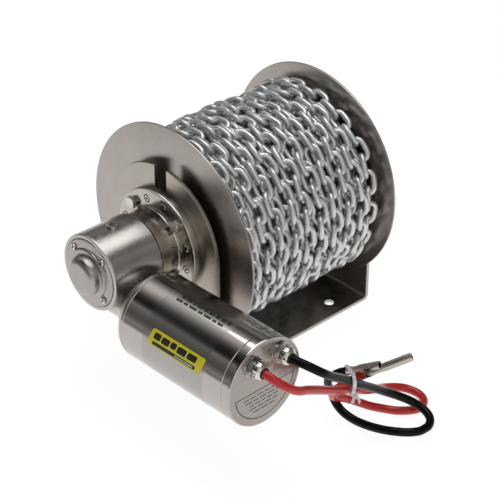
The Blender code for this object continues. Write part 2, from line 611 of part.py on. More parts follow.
def make_glands():
    g = GAP
    for colour, s in (("red", -1), ("black", 1)):
        at = (MOTOR_X + s * GLAND_DX, 0, GLAND_Z)
        f = MOTOR_Y3
        # threaded body with its hexagon
        turned("gland_body_" + colour, [
            (f + 9, 5.5), (f + 9, 6.2), (f - g, 6.2), (f - g, 9.6), (f - 6.0, 9.6),
            (f - 6.0, 5.5)], axis="Y", at=at, steps=6, phase=math.radians(10), look=NICKEL)
        turned("gland_nut_" + colour, [
            (f - 6.0 - g, CABLE_R + g), (f - 6.0 - g, 8.3), (f - 12.5, 8.3), (f - 16.0, 6.9),
            (f - 17.6, 6.2), (f - 17.6, CABLE_R + g)], axis="Y", at=at, steps=16, look=NICKEL)


def make_cables():
    """The two cables and their crimped tubes; returns each cable's centre line."""
    g = GAP
    lines = {}
    for colour, look, route, end in (("red", RED, RED_ROUTE, RED_TUBE_END),
                                     ("black", BLACK, BLACK_ROUTE, BLACK_TUBE_END)):
        first = Vector(route[0])
        inside = [first + Vector((0, d, 0)) for d in (24, 12)]
        # the last few millimetres turn to point along the crimped tube
        a, b = Vector(route[-1]), Vector(end)
        d = (b - a).normalized()
        a = a + d * 8
        run = smooth_route(inside + list(route) + [a], 11)
        # dead straight inside the gland
        run = [first + Vector((0, 24, 0)), first] + [p for p in run if p.y < first.y - 5 or p.z < 110]
        lines[colour] = run
        tube(colour + "_cable", run, CABLE_R, look)
        # the crimped tube butts on the cable and is open at its far end
        last = (run[-1] - run[-2]).normalized()
        a = a + d * (g * 2 + CABLE_R * last.cross(d).length)
        lines[colour + "_tube"] = [a, b]
        length = (b - a).length
        crimp = turned(colour + "_connector", [
            (0, 0), (0, TUBE_R), (length, TUBE_R), (length, TUBE_BORE), (length * 0.42, TUBE_BORE),
            (length * 0.42, 0)], axis="Z", at=a, steps=12, look=NICKEL)
        crimp.rotation_euler = d.to_track_quat("Z", "Y").to_euler()
    return lines


def hull(points):
    """Convex outline of flat points, anticlockwise."""
    pts = sorted(set((round(u, 4), round(v, 4)) for u, v in points))
    halves = []
    for seq in (pts, pts[::-1]):
        chain = []
        for p in seq:
            while len(chain) > 1 and ((chain[-1][0] - chain[-2][0]) * (p[1] - chain[-2][1])
                                      - (chain[-1][1] - chain[-2][1]) * (p[0] - chain[-2][0])) <= 1e-6:
                chain.pop()
            chain.append(p)
        halves += chain[:-1]
    return halves


def make_tie(lines):
    """A closed strap round every strand that crosses the tie's plane near TIE_AT."""
    at = Vector(TIE_AT)
    turn = Vector(TIE_ALONG).normalized().to_track_quat("Z", "Y")
    across, up, along = (turn @ Vector(v) for v in ((1, 0, 0), (0, 1, 0), (0, 0, 1)))
    centres = []
    for line in lines.values():
        for a, b in zip(line, line[1:]):
            da, db = (a - at).dot(along), (b - at).dot(along)
            if da * db <= 0 and (a - at).length < 30:
                p = a.lerp(b, da / (da - db)) - at
                d = (b - a).normalized()
                centres.append((p.dot(across), p.dot(up), abs(d.dot(along)),
                                math.atan2(d.dot(up), d.dot(across))))
    loops = []
    for extra in (TIE_WALL + 0.5, 0.5):
        rim = []
        # each strand meets the strap's plane in an ellipse
        for u, v, slant, a in centres:
            slant = max(slant, 0.4)
            long = CABLE_R / slant + TIE_WIDTH / 2 * math.sqrt(1 / slant ** 2 - 1) + extra
            for c, s in arc(0, 0, 1, 0, 360, 16):
                c, s = long * c, (CABLE_R + extra) * s
                rim.append((u + c * math.cos(a) - s * math.sin(a), v + c * math.sin(a) + s * math.cos(a)))
        loops.append(hull(rim))
    strap = drawn("cable_tie", loops, TIE_WIDTH, "XY", TIE_AT, look=CLEAR)
    strap.rotation_euler = turn.to_euler()


make_frame()
make_drum()
make_gearbox()
make_rotor()
make_motor()
make_far_bearing()
make_glands()
make_tie(make_cables())
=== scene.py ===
"""Looks for the electric drum anchor winch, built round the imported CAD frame."""

import json
import math
import random

import bmesh
import bpy
from mathutils import Euler, Matrix, Vector

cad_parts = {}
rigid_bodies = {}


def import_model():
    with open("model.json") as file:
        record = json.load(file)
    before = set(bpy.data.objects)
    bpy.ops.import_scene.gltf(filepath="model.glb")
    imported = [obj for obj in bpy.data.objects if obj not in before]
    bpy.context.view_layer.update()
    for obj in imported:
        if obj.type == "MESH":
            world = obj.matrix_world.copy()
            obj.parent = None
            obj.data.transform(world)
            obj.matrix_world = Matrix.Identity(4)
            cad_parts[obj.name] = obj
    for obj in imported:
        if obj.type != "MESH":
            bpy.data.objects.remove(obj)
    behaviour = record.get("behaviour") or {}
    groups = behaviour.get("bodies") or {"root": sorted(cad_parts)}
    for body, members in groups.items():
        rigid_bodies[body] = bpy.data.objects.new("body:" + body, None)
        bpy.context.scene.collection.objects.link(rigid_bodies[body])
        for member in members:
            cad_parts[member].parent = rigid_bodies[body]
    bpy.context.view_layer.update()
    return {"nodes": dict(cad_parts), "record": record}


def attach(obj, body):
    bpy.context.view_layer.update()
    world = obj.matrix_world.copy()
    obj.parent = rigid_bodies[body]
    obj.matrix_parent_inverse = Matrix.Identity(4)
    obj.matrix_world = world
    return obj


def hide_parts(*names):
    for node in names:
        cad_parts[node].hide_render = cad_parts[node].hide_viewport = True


for old in list(bpy.data.objects):
    bpy.data.objects.remove(old, do_unlink=True)

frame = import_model()
NODES = frame["nodes"]
MM = 0.001
rng = random.Random(7)

# driving sizes, mm, as in the CAD source
AXIS_Z = 138.7
FRAME_X, FRAME_Y, PLATE, BEND_R, SLOT = 116.8, 85.7, 4.0, 7.0, 18.0
DRUM_R, DRUM_T, DRUM_X0, DRUM_X1 = 125.0, 2.54, -103.7, 110.6
CORE_R = 38.0
BASE_HOLE, BASE_HOLE_R = (74.3, 65.0), 5.5
HOUSE_X0, HOUSE_X1, HOUSE_R = -214.4, -152.1, 42.1
NECK_R, FLANGE_R, FLANGE_X0, HOLES_R = 39.3, 60.0, -125.2, 49.0
MOTOR_X, MOTOR_Z, MOTOR_R = -182.6, 103.6, 48.0
MOTOR_Y0, MOTOR_Y1, MOTOR_Y2, MOTOR_Y3 = -57.4, -67.3, -212.6, -224.1
GLAND_DX, GLAND_Z, CABLE_R = 18.0, 131.5, 4.5
GAP = 0.3

# ---------------------------------------------------------------- camera
CAM_AT = (-1124.23, -1185.75, 1077.42)
AZ, EL, ROLL = -43.771, 31.508, 0.209
a_, e_, r_ = (math.radians(v) for v in (AZ, EL, ROLL))
back = Vector((math.sin(a_) * math.cos(e_), -math.cos(a_) * math.cos(e_), math.sin(e_)))
right = (-back).cross(Vector((0, 0, 1))).normalized()
up = right.cross(-back)
right, up = right * math.cos(r_) + up * math.sin(r_), up * math.cos(r_) - right * math.sin(r_)
cam_data = bpy.data.cameras.new("camera")
cam_data.sensor_width = 36
cam_data.lens = 36 * 1723.25 / 500
cam_data.clip_start, cam_data.clip_end = 0.05, 60
cam = bpy.data.objects.new("camera", cam_data)
bpy.context.scene.collection.objects.link(cam)
cam.matrix_world = Matrix((
    (right.x, up.x, back.x, CAM_AT[0] * MM),
    (right.y, up.y, back.y, CAM_AT[1] * MM),
    (right.z, up.z, back.z, CAM_AT[2] * MM),
    (0, 0, 0, 1)))
bpy.context.scene.camera = cam
bpy.context.scene.view_settings.view_transform = "Standard"
bpy.context.scene.view_settings.look = "None"


# ---------------------------------------------------------------- materials
class Tree:
    """A small helper for building node materials."""

    def __init__(self, name):
        self.mat = bpy.data.materials.new(name)
        self.mat.use_nodes = True
        self.nt = self.mat.node_tree
        self.bsdf = self.nt.nodes["Principled BSDF"]

    def node(self, kind, **values):
        n = self.nt.nodes.new(kind)
        for k, v in values.items():
            setattr(n, k, v)
        return n

    def link(self, a, b):
        self.nt.links.new(a, b)

    def put(self, socket, value):
        if isinstance(value, bpy.types.NodeSocket):
            self.link(value, socket)
        else:
            socket.default_value = value

    def math(self, op, a, b=0.0, c=None, clamp=False):
        n = self.node("ShaderNodeMath", operation=op, use_clamp=clamp)
        self.put(n.inputs[0], a)
        self.put(n.inputs[1], b)
        if c is not None:
            self.put(n.inputs[2], c)
        return n.outputs[0]

    def coords(self):
        """x, y, z in mm, in the piece's own frame."""
        tc = self.node("ShaderNodeTexCoord")
        sep = self.node("ShaderNodeSeparateXYZ")
        self.link(tc.outputs["Object"], sep.inputs[0])
        return [self.math("MULTIPLY", s, 1000.0) for s in sep.outputs]

    def vector(self, x, y, z):
        n = self.node("ShaderNodeCombineXYZ")
        for s, v in zip(n.inputs, (x, y, z)):
            self.put(s, v)
        return n.outputs[0]

    def noise(self, vec, scale=1.0, detail=3.0, rough=0.5):
        n = self.node("ShaderNodeTexNoise")
        n.inputs["Scale"].default_value = scale
        n.inputs["Detail"].default_value = detail
        n.inputs["Roughness"].default_value = rough
        self.put(n.inputs["Vector"], vec)
        return n.outputs["Fac"]

    def remap(self, v, a, b, c, d):
        n = self.node("ShaderNodeMapRange")
        self.put(n.inputs["Value"], v)
        for name, val in (("From Min", a), ("From Max", b), ("To Min", c), ("To Max", d)):
            self.put(n.inputs[name], val)
        return n.outputs["Result"]

    def mix(self, f, a, b):
        n = self.node("ShaderNodeMix", data_type="RGBA")
        self.put(n.inputs[0], f)
        for i, v in ((6, a), (7, b)):
            if isinstance(v, tuple) and len(v) == 3:
                v = (*v, 1)
            self.put(n.inputs[i], v)
        return n.outputs[2]

    def bump(self, height, distance, strength=1.0):
        n = self.node("ShaderNodeBump")
        n.inputs["Strength"].default_value = strength
        n.inputs["Distance"].default_value = distance
        self.put(n.inputs["Height"], height)
        self.link(n.outputs[0], self.bsdf.inputs["Normal"])

    def set(self, **kw):
        for k, v in kw.items():
            s = self.bsdf.inputs[k.replace("_", " ")]
            if isinstance(v, tuple) and len(v) == 3:
                v = (*v, 1)
            self.put(s, v)


def polar(t, axis, centre):
    """radius and angle about an axis through centre (mm), and the place along it."""
    x, y, z = t.coords()
    cx, cy, cz = centre
    if axis == "X":
        u, v, w = t.math("SUBTRACT", y, cy), t.math("SUBTRACT", z, cz), x
    elif axis == "Y":
        u, v, w = t.math("SUBTRACT", x, cx), t.math("SUBTRACT", z, cz), y
    else:
        u, v, w = t.math("SUBTRACT", x, cx), t.math("SUBTRACT", y, cy), z
    r = t.math("SQRT", t.math("ADD", t.math("MULTIPLY", u, u), t.math("MULTIPLY", v, v)))
    return r, t.math("ARCTAN2", v, u), w


def brushed(name, colour, rough, kind="X", centre=(0, 0, AXIS_Z), streak=0.10, spread=0.08,
            fine=2.2, mottle=0.06, bump=0.00002, aniso=0.0, dark=0.80):
    """Brushed or turned metal. kind: 'X','Y','Z' straight grain along that axis;
    'turnX','turnY','turnZ' rings about an axis, grain runs round."""
    t = Tree(name)
    x, y, z = t.coords()
    if kind.startswith("turn"):
        r, ang, along = polar(t, kind[4], centre)
        vec = t.vector(t.math("MULTIPLY", r, fine), t.math("MULTIPLY", ang, 5.0), t.math("MULTIPLY", along, fine))
    else:
        k = {"X": (0.02, 1, 1), "Y": (1, 0.02, 1), "Z": (1, 1, 0.02)}[kind]
        vec = t.vector(*[t.math("MULTIPLY", c, fine * s) for c, s in zip((x, y, z), k)])
    grain = t.noise(vec, 1.0, 4.0, 0.65)
    broad = t.noise(t.vector(x, y, z), 0.035, 3.0, 0.55)
    smudge = t.noise(t.vector(x, y, z), 0.16, 4.0, 0.6)
    tone = t.math("ADD", t.remap(grain, 0.3, 0.7, 0, 1), t.remap(broad, 0.3, 0.7, -0.5, 0.5))
    low = tuple(c * dark for c in colour)
    t.set(Metallic=1.0, Base_Color=t.mix(t.math("MULTIPLY", tone, 0.6, clamp=True), low, colour))
    ro = t.math("ADD", t.remap(grain, 0.25, 0.75, rough - streak / 2, rough + streak / 2),
                t.remap(smudge, 0.3, 0.7, -mottle, mottle), clamp=True)
    t.set(Roughness=ro)
    if aniso:
        t.set(Anisotropic=aniso)
    t.bump(grain, bump, 0.6)
    return t.mat


def blasted(name, colour, rough):
    """Bead-blasted casting, slightly polished on its high spots."""
    t = Tree(name)
    x, y, z = t.coords()
    v = t.vector(x, y, z)
    grit, pits = t.noise(v, 0.85, 4.0, 0.65), t.noise(v, 2.2, 2.0, 0.6)
    worn = t.noise(v, 0.05, 3.0, 0.55)
    t.set(Metallic=1.0, Base_Color=t.mix(t.remap(grit, 0.3, 0.7, 0, 1), tuple(c * 0.86 for c in colour), colour),
          Roughness=t.math("ADD", t.remap(grit, 0.3, 0.7, rough + 0.05, rough - 0.04), t.remap(worn, 0.3, 0.7, -0.03, 0.03)))
    t.bump(t.math("ADD", t.math("MULTIPLY", grit, 0.7), t.math("MULTIPLY", pits, 0.3)), 0.00022, 0.5)
    return t.mat


def galvanised(name):
    t = Tree(name)
    x, y, z = t.coords()
    v = t.vector(x, y, z)
    spangle = t.noise(v, 0.5, 3.0, 0.6)
    fine = t.noise(v, 2.4, 3.0, 0.7)
    stain = t.noise(v, 0.06, 3.0, 0.6)
    col = t.mix(t.remap(spangle, 0.3, 0.7, 0, 1), (0.56, 0.572, 0.572), (0.80, 0.812, 0.812))
    col = t.mix(t.remap(stain, 0.45, 0.75, 0, 0.3), col, (0.46, 0.475, 0.48))
    t.set(Metallic=0.80, Base_Color=col, Roughness=t.remap(fine, 0.3, 0.7, 0.26, 0.42))
    t.bump(t.math("ADD", t.math("MULTIPLY", spangle, 0.6), t.math("MULTIPLY", fine, 0.4)), 0.00022, 0.5)
    return t.mat


def rope_material(name, cells_round=10, pitch=2.6):
    """Double braid: u runs along the rope in mm/1000, v goes round once."""
    t = Tree(name)
    uv = t.node("ShaderNodeUVMap")
    sep = t.node("ShaderNodeSeparateXYZ")
    t.link(uv.outputs[0], sep.inputs[0])
    u = t.math("MULTIPLY", sep.outputs[0], 1000.0 / pitch)
    v = t.math("MULTIPLY", sep.outputs[1], cells_round)
    s, d = t.math("ADD", u, v), t.math("SUBTRACT", u, v)
    hs = t.math("ABSOLUTE", t.math("SINE", t.math("MULTIPLY", s, math.pi / 2)))
    hd = t.math("ABSOLUTE", t.math("SINE", t.math("MULTIPLY", d, math.pi / 2)))
    height = t.math("MULTIPLY", hs, hd)
    cell = t.math("FLOOR", t.math("MULTIPLY", s, 0.5))
    row = t.math("FLOOR", t.math("MULTIPLY", d, 0.5))
    blue = t.math("COMPARE", t.math("MODULO", t.math("ABSOLUTE", cell), 5.0), 2.0, 0.3)
    over = t.math("COMPARE", t.math("MODULO", t.math("ABSOLUTE", row), 4.0), 1.0, 0.3)
    fleck = t.math("MULTIPLY", blue, over)
    x, y, z = t.coords()
    grime = t.noise(t.vector(x, y, z), 0.05, 3.0, 0.6)
    base = t.mix(t.remap(grime, 0.35, 0.7, 0, 0.5), (0.80, 0.81, 0.83), (0.55, 0.56, 0.57))
    # painted shade: nearly black where the chain lies over the rope, standing for the shade under the links; clean and
    # bright beside the flanges
    under_chain_shade = t.math("MULTIPLY", t.remap(x, -64.0, -44.0, 0, 1), t.remap(x, 62.0, 80.0, 1, 0))
    base = t.mix(t.math("MULTIPLY", under_chain_shade, 0.78), base, (0.05, 0.052, 0.058))
    base = t.mix(fleck, base, (0.012, 0.13, 0.46))
    # painted shade: the low parts of the braid, between the strands, are darkened
    t.set(Base_Color=t.mix(t.remap(height, 0.0, 0.55, 0.75, 0.0), base, (0.05, 0.055, 0.065)),
          Roughness=0.85, Sheen_Weight=0.25)
    t.bump(height, 0.0007, 0.9)
    return t.mat


def plastic(name, colour, rough, bump=0.00003, scale=0.9, var=0.10, coat=0.0, metallic=0.0, ior=1.45, specular=0.5):
    t = Tree(name)
    x, y, z = t.coords()
    v = t.vector(x, y, z)
    n, b = t.noise(v, scale, 4.0, 0.6), t.noise(v, 0.05, 2.0)
    low = tuple(c * (1 - 2 * var) for c in colour)
    t.set(Base_Color=t.mix(t.remap(b, 0.3, 0.7, 0, 1), low, colour),
          Roughness=t.remap(n, 0.3, 0.7, rough - 0.05, rough + 0.07), Metallic=metallic, Coat_Weight=coat,
          IOR=ior, Specular_IOR_Level=specular)
    t.bump(n, bump, 0.5)
    return t.mat


def nylon(name):
    t = Tree(name)
    x, y, z = t.coords()
    n = t.noise(t.vector(x, y, z), 0.6, 3.0)
    t.set(Base_Color=(0.86, 0.88, 0.89), Roughness=t.remap(n, 0.3, 0.7, 0.22, 0.40),
          Transmission_Weight=0.35, IOR=1.5)
    t.bump(n, 0.00008, 0.5)
    return t.mat


def motor_can_material(name):
    """Polished tube with a clear satin film wrapped over its middle."""
    t = Tree(name)
    r, ang, along = polar(t, "Y", (MOTOR_X, 0, MOTOR_Z))
    x, y, z = t.coords()
    # the grain runs round the tube
    grain = t.noise(t.vector(t.math("MULTIPLY", ang, 6.0), t.math("MULTIPLY", along, 3.0), 0.0), 1.0, 4.0, 0.7)
    specks = t.noise(t.vector(x, y, z), 1.6, 2.0, 0.6)
    f1 = t.remap(along, -187.4, -187.0, 0, 1)
    f2 = t.remap(along, -98.0, -97.6, 1, 0)
    left = t.remap(x, MOTOR_X - 2.0, MOTOR_X + 4.0, 1, 1)
    film = t.math("MULTIPLY", f1, f2)
    film = t.math("MULTIPLY", film, t.remap(t.math("SUBTRACT", z, t.math("MULTIPLY", t.math("SUBTRACT", x, MOTOR_X), 1.9)),
                                            MOTOR_Z - 22.0, MOTOR_Z - 21.0, 0, 1))
    tone = t.remap(grain, 0.3, 0.7, 0, 1)
    metal = t.mix(tone, (0.43, 0.392, 0.368), (0.48, 0.44, 0.412))
    t.set(Metallic=1.0, Base_Color=t.mix(t.math("MULTIPLY", film, 0.8), metal, (0.37, 0.355, 0.34)))
    rough = t.math("ADD", t.remap(film, 0, 1, 0.075, 0.17), t.remap(specks, 0.35, 0.7, -0.01, 0.03))
    t.set(Roughness=t.math("ADD", rough, t.remap(grain, 0.3, 0.7, -0.01, 0.02)))
    t.bump(grain, 0.00001, 0.4)
    return t.mat


MAT = {
    "disc": brushed("flange_steel", (0.44, 0.40, 0.37), 0.30, "turnX", streak=0.08, fine=1.6, mottle=0.03, aniso=0.3,
                    dark=0.90),
    "sheet": brushed("frame_steel", (0.45, 0.41, 0.37), 0.30, "Z", streak=0.10, mottle=0.03, dark=0.90),
    "housing": blasted("housing_steel", (0.49, 0.465, 0.44), 0.24),
    "neck": brushed("neck_steel", (0.56, 0.515, 0.46), 0.17, "X", streak=0.06, fine=1.6, mottle=0.02),
    "cover": brushed("cover_steel", (0.42, 0.385, 0.365), 0.30, "turnX", streak=0.06, fine=1.2, mottle=0.04,
                     bump=0.00002, dark=0.92),
    "cap": brushed("motor_cap_steel", (0.47, 0.435, 0.41), 0.09, "turnY", (MOTOR_X, 0, MOTOR_Z), streak=0.05,
                   fine=3.0, mottle=0.015, dark=0.92),
    "face": brushed("motor_face_steel", (0.385, 0.345, 0.318), 0.27, "turnY", (MOTOR_X, 0, MOTOR_Z), streak=0.06,
                    fine=2.0, mottle=0.05, dark=0.90),
    "can": motor_can_material("motor_can_steel"),
    "bright": brushed("bright_steel", (0.72, 0.70, 0.68), 0.16, "Z", streak=0.08, fine=4.0, mottle=0.05),
    "ground": brushed("ground_steel", (0.50, 0.50, 0.50), 0.30, "Z", streak=0.12),
    "bronze": brushed("bronze", (0.55, 0.36, 0.16), 0.32, "turnX", streak=0.12),
    "copper": brushed("copper", (0.66, 0.32, 0.18), 0.32, "turnY", (MOTOR_X, 0, MOTOR_Z), streak=0.12),
    "tinned": brushed("tinned_copper", (0.60, 0.55, 0.49), 0.27, "X", streak=0.12, fine=3.0, mottle=0.08,
                      bump=0.00006),
    "nickel": brushed("nickel_plate", (0.78, 0.76, 0.72), 0.13, "Y", streak=0.06, fine=4.0, mottle=0.05),
    "zinc": galvanised("galvanised_chain"),
    "rope": rope_material("braided_rope"),
    "red": plastic("red_sheath", (0.55, 0.026, 0.022), 0.20, var=0.05, coat=0.1),
    "black": plastic("black_sheath", (0.0045, 0.0045, 0.005), 0.20, var=0.1, bump=0.00001, ior=1.32, specular=0.25),
    "rubber": plastic("seal_rubber", (0.018, 0.018, 0.019), 0.6, var=0.1),
    "ferrite": plastic("ferrite", (0.05, 0.05, 0.055), 0.6, var=0.15, bump=0.00008),
    "phenolic": plastic("phenolic", (0.18, 0.10, 0.05), 0.5, var=0.15),
    "nylon": nylon("clear_nylon"),
    "label_yellow": plastic("label_yellow", (0.74, 0.66, 0.012), 0.30, var=0.04, bump=0.00001),
    "label_black": plastic("label_black", (0.012, 0.012, 0.012), 0.32, var=0.1, bump=0.00001),
    "label_pale": plastic("label_pale", (0.62, 0.61, 0.52), 0.32, var=0.05, bump=0.00001),
    "dash": plastic("dash_grey", (0.12, 0.11, 0.10), 0.5, var=0.1, metallic=0.5),
    # near-black painted shade for the inside of screw sockets and the engraved outline on the motor face
    "groove": plastic("recess_shade_dark", (0.018, 0.016, 0.015), 0.6, var=0.1),
}
SLOT_MAT = {"stainless": "sheet", "polished_case": "cap", "cast_case": "housing", "bright_fasteners": "bright",
            "bearing_steel": "ground", "bronze": "bronze", "copper": "copper", "ferrite": "ferrite",
            "phenolic": "phenolic", "seal_rubber": "rubber", "nickel": "nickel", "red_cable": "red",
            "black_cable": "black", "clear_nylon": "nylon", "rope": "rope", "galvanised": "zinc"}
for part in frame["record"]["subparts"]:
    node = NODES.get(part["node"])
    if node is not None:
        node.data.materials.clear()
        node.data.materials.append(MAT[SLOT_MAT[part["material_slot"]]])


# ---------------------------------------------------------------- mesh helpers
def finish_mesh(name, bm, mat, body, stands_for=(), angle=32, bevel=0.0, segments=2):
    bmesh.ops.remove_doubles(bm, verts=bm.verts, dist=1e-4)
    bmesh.ops.recalc_face_normals(bm, faces=bm.faces)
    for v in bm.verts:
        v.co *= MM
    mesh = bpy.data.meshes.new(name)
    bm.to_mesh(mesh)
    bm.free()
    mesh.shade_smooth()
    mesh.set_sharp_from_angle(angle=math.radians(angle))
    obj = bpy.data.objects.new(name, mesh)
    bpy.context.scene.collection.objects.link(obj)
    obj.data.materials.append(MAT[mat] if isinstance(mat, str) else mat)
    if bevel:
        add_bevel(obj, bevel, segments, angle)
    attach(obj, body)
    if stands_for:
        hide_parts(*stands_for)
    return obj


def add_bevel(obj, width, segments=2, angle=32):
    b = obj.modifiers.new("edges", "BEVEL")
    b.limit_method = "ANGLE"
    b.angle_limit = math.radians(angle)
    b.width = width * MM
    b.segments = segments
    b.harden_normals = True
    b.use_clamp_overlap = True


def along(axis, at):
    """Matrix that carries local (r cos, r sin, a) to a lathe about the axis through at, in mm."""
    x, y, z = at
    if axis == "X":
        return Matrix(((0, 0, 1, 0), (1, 0, 0, y), (0, 1, 0, z), (0, 0, 0, 1)))
    if axis == "Y":
        return Matrix(((0, 1, 0, x), (0, 0, 1, 0), (1, 0, 0, z), (0, 0, 0, 1)))
    return Matrix(((1, 0, 0, x), (0, 1, 0, y), (0, 0, 1, 0), (0, 0, 0, 1)))


def lathe_bm(profile, axis="X", at=(0, 0, AXIS_Z), steps=128, closed=None, shape=None):
    """profile is (place along the axis, radius).  shape(theta, a, r) may change the radius."""
    bm = bmesh.new()
    m = along(axis, at)
    if closed is None:
        closed = not (profile[0][1] == 0 and profile[-1][1] == 0)
    rings = []
    for a, r in profile:
        if r == 0:
            rings.append([bm.verts.new(m @ Vector((0, 0, a)))])
            continue
        ring = []
        for i in range(steps):
            th = 2 * math.pi * i / steps
            q = shape(th, a, r) if shape else r
            ring.append(bm.verts.new(m @ Vector((q * math.cos(th), q * math.sin(th), a))))
        rings.append(ring)
    pairs = list(zip(rings, rings[1:]))
    if closed:
        pairs.append((rings[-1], rings[0]))
    for p, q in pairs:
        if len(p) == 1 and len(q) == 1:
            continue
        for i in range(steps):
            j = (i + 1) % steps
            if len(p) == 1:
                bm.faces.new((p[0], q[i], q[j]))
            elif len(q) == 1:
                bm.faces.new((p[i], q[0], p[j]))
            else:
                bm.faces.new((p[i], q[i], q[j], p[j]))
    return bm


def lathe(name, profile, mat, body, axis="X", at=(0, 0, AXIS_Z), steps=128, stands_for=(), bevel=0.0,
          angle=32, shape=None, closed=None, segments=2):
    bm = lathe_bm(profile, axis, at, steps, closed, shape)
    return finish_mesh(name, bm, mat, body, stands_for, angle, bevel, segments)


def arc(cu, cv, r, a0, a1, n):
    return [(cu + r * math.cos(math.radians(a0 + (a1 - a0) * i / n)),
             cv + r * math.sin(math.radians(a0 + (a1 - a0) * i / n))) for i in range(n + 1)]


def prism_bm(outline, holes, lo, hi, plane):
    """Extrudes a flat outline with holes between two places, in mm."""
    curve = bpy.data.curves.new("outline", "CURVE")
    curve.dimensions = "2D"
    curve.fill_mode = "BOTH"
    curve.extrude = (hi - lo) / 2
    for loop in [outline] + list(holes):
        s = curve.splines.new("POLY")
        s.points.add(len(loop) - 1)
        for p, (u, v) in zip(s.points, loop):
            p.co = (u, v, 0, 1)
        s.use_cyclic_u = True
    obj = bpy.data.objects.new("outline", curve)
    bpy.context.scene.collection.objects.link(obj)
    bpy.context.view_layer.update()
    mesh = bpy.data.meshes.new_from_object(obj.evaluated_get(bpy.context.evaluated_depsgraph_get()))
    bpy.data.objects.remove(obj, do_unlink=True)
    bm = bmesh.new()
    bm.from_mesh(mesh)
    bpy.data.meshes.remove(mesh)
    mid = (lo + hi) / 2
    m = {"YZ": Matrix(((0, 0, 1, mid), (1, 0, 0, 0), (0, 1, 0, 0), (0, 0, 0, 1))),
         "XZ": Matrix(((1, 0, 0, 0), (0, 0, -1, mid), (0, 1, 0, 0), (0, 0, 0, 1))),
         "XY": Matrix(((1, 0, 0, 0), (0, 1, 0, 0), (0, 0, 1, mid), (0, 0, 0, 1)))}[plane]
    bmesh.ops.transform(bm, matrix=m, verts=bm.verts)
    bmesh.ops.remove_doubles(bm, verts=bm.verts, dist=1e-4)
    bmesh.ops.recalc_face_normals(bm, faces=bm.faces)
    return bm


def temp_object(bm, name="cutter"):
    mesh = bpy.data.meshes.new(name)
    bmesh.ops.recalc_face_normals(bm, faces=bm.faces)
    bm.to_mesh(mesh)
    bm.free()
    obj = bpy.data.objects.new(name, mesh)
    bpy.context.scene.collection.objects.link(obj)
    return obj


def combine(base, steps):
    """base bmesh changed by (operation, bmesh) steps with exact booleans; returns a bmesh."""
    obj = temp_object(base, "base")
    others = []
    for op, bm in steps:
        other = temp_object(bm)
        others.append(other)
        m = obj.modifiers.new(op, "BOOLEAN")
        m.operation = op
        m.solver = "EXACT"
        m.object = other
    bpy.context.view_layer.update()
    mesh = bpy.data.meshes.new_from_object(obj.evaluated_get(bpy.context.evaluated_depsgraph_get()))
    for o in others + [obj]:
        bpy.data.objects.remove(o, do_unlink=True)
    out = bmesh.new()
    out.from_mesh(mesh)
    bpy.data.meshes.remove(mesh)
    bmesh.ops.remove_doubles(out, verts=out.verts, dist=1e-4)
    bmesh.ops.dissolve_degenerate(out, dist=1e-4, edges=out.edges)
    return out


def cyl_bm(at, axis, r, lo, hi, steps=32, taper=0.0):
    """A cylinder from lo to hi, relative to at, along the axis."""
    bm = lathe_bm([(lo, 0), (lo, r), (hi, r + taper), (hi, 0)], axis,
                  (at[0] if axis != "X" else 0, at[1] if axis != "Y" else 0, at[2] if axis != "Z" else 0), steps)
    shift = {"X": Vector((at[0], 0, 0)), "Y": Vector((0, at[1], 0)), "Z": Vector((0, 0, at[2]))}[axis]
    bmesh.ops.translate(bm, vec=shift, verts=bm.verts)
    return bm


def merge(bms):
    out = bmesh.new()
    for bm in bms:
        mesh = bpy.data.meshes.new("part")
        bm.to_mesh(mesh)
        bm.free()
        out.from_mesh(mesh)
        bpy.data.meshes.remove(mesh)
    return out


# ---------------------------------------------------------------- cables first
def smooth_route(points, spacing):
    p = [Vector(q) for q in points]
    p = [2 * p[0] - p[1]] + p + [2 * p[-1] - p[-2]]
    dense = []
    for i in range(1, len(p) - 2):
        p0, p1, p2, p3 = p[i - 1:i + 3]
        t1 = (p1 - p0).length ** 0.5
        t2 = t1 + (p2 - p1).length ** 0.5
        t3 = t2 + (p3 - p2).length ** 0.5
        for j in range(24):
            t = t1 + (t2 - t1) * j / 24
            a1 = (t1 - t) / t1 * p0 + t / t1 * p1
            a2 = (t2 - t) / (t2 - t1) * p1 + (t - t1) / (t2 - t1) * p2
            a3 = (t3 - t) / (t3 - t2) * p2 + (t - t2) / (t3 - t2) * p3
            b1 = (t2 - t) / t2 * a1 + t / t2 * a2
            b2 = (t3 - t) / (t3 - t1) * a2 + (t - t1) / (t3 - t1) * a3
            dense.append((t2 - t) / (t2 - t1) * b1 + (t - t1) / (t2 - t1) * b2)
    dense.append(p[-2])
    run = [0.0]
    for a, b in zip(dense, dense[1:]):
        run.append(run[-1] + (b - a).length)
    n = max(2, round(run[-1] / spacing))
    out, j = [], 0
    for i in range(n + 1):
        s = run[-1] * i / n
        while j < len(run) - 2 and run[j + 1] < s:
            j += 1
        f = (s - run[j]) / max(1e-9, run[j + 1] - run[j])
        out.append(dense[j].lerp(dense[j + 1], min(1, f)))
    return out


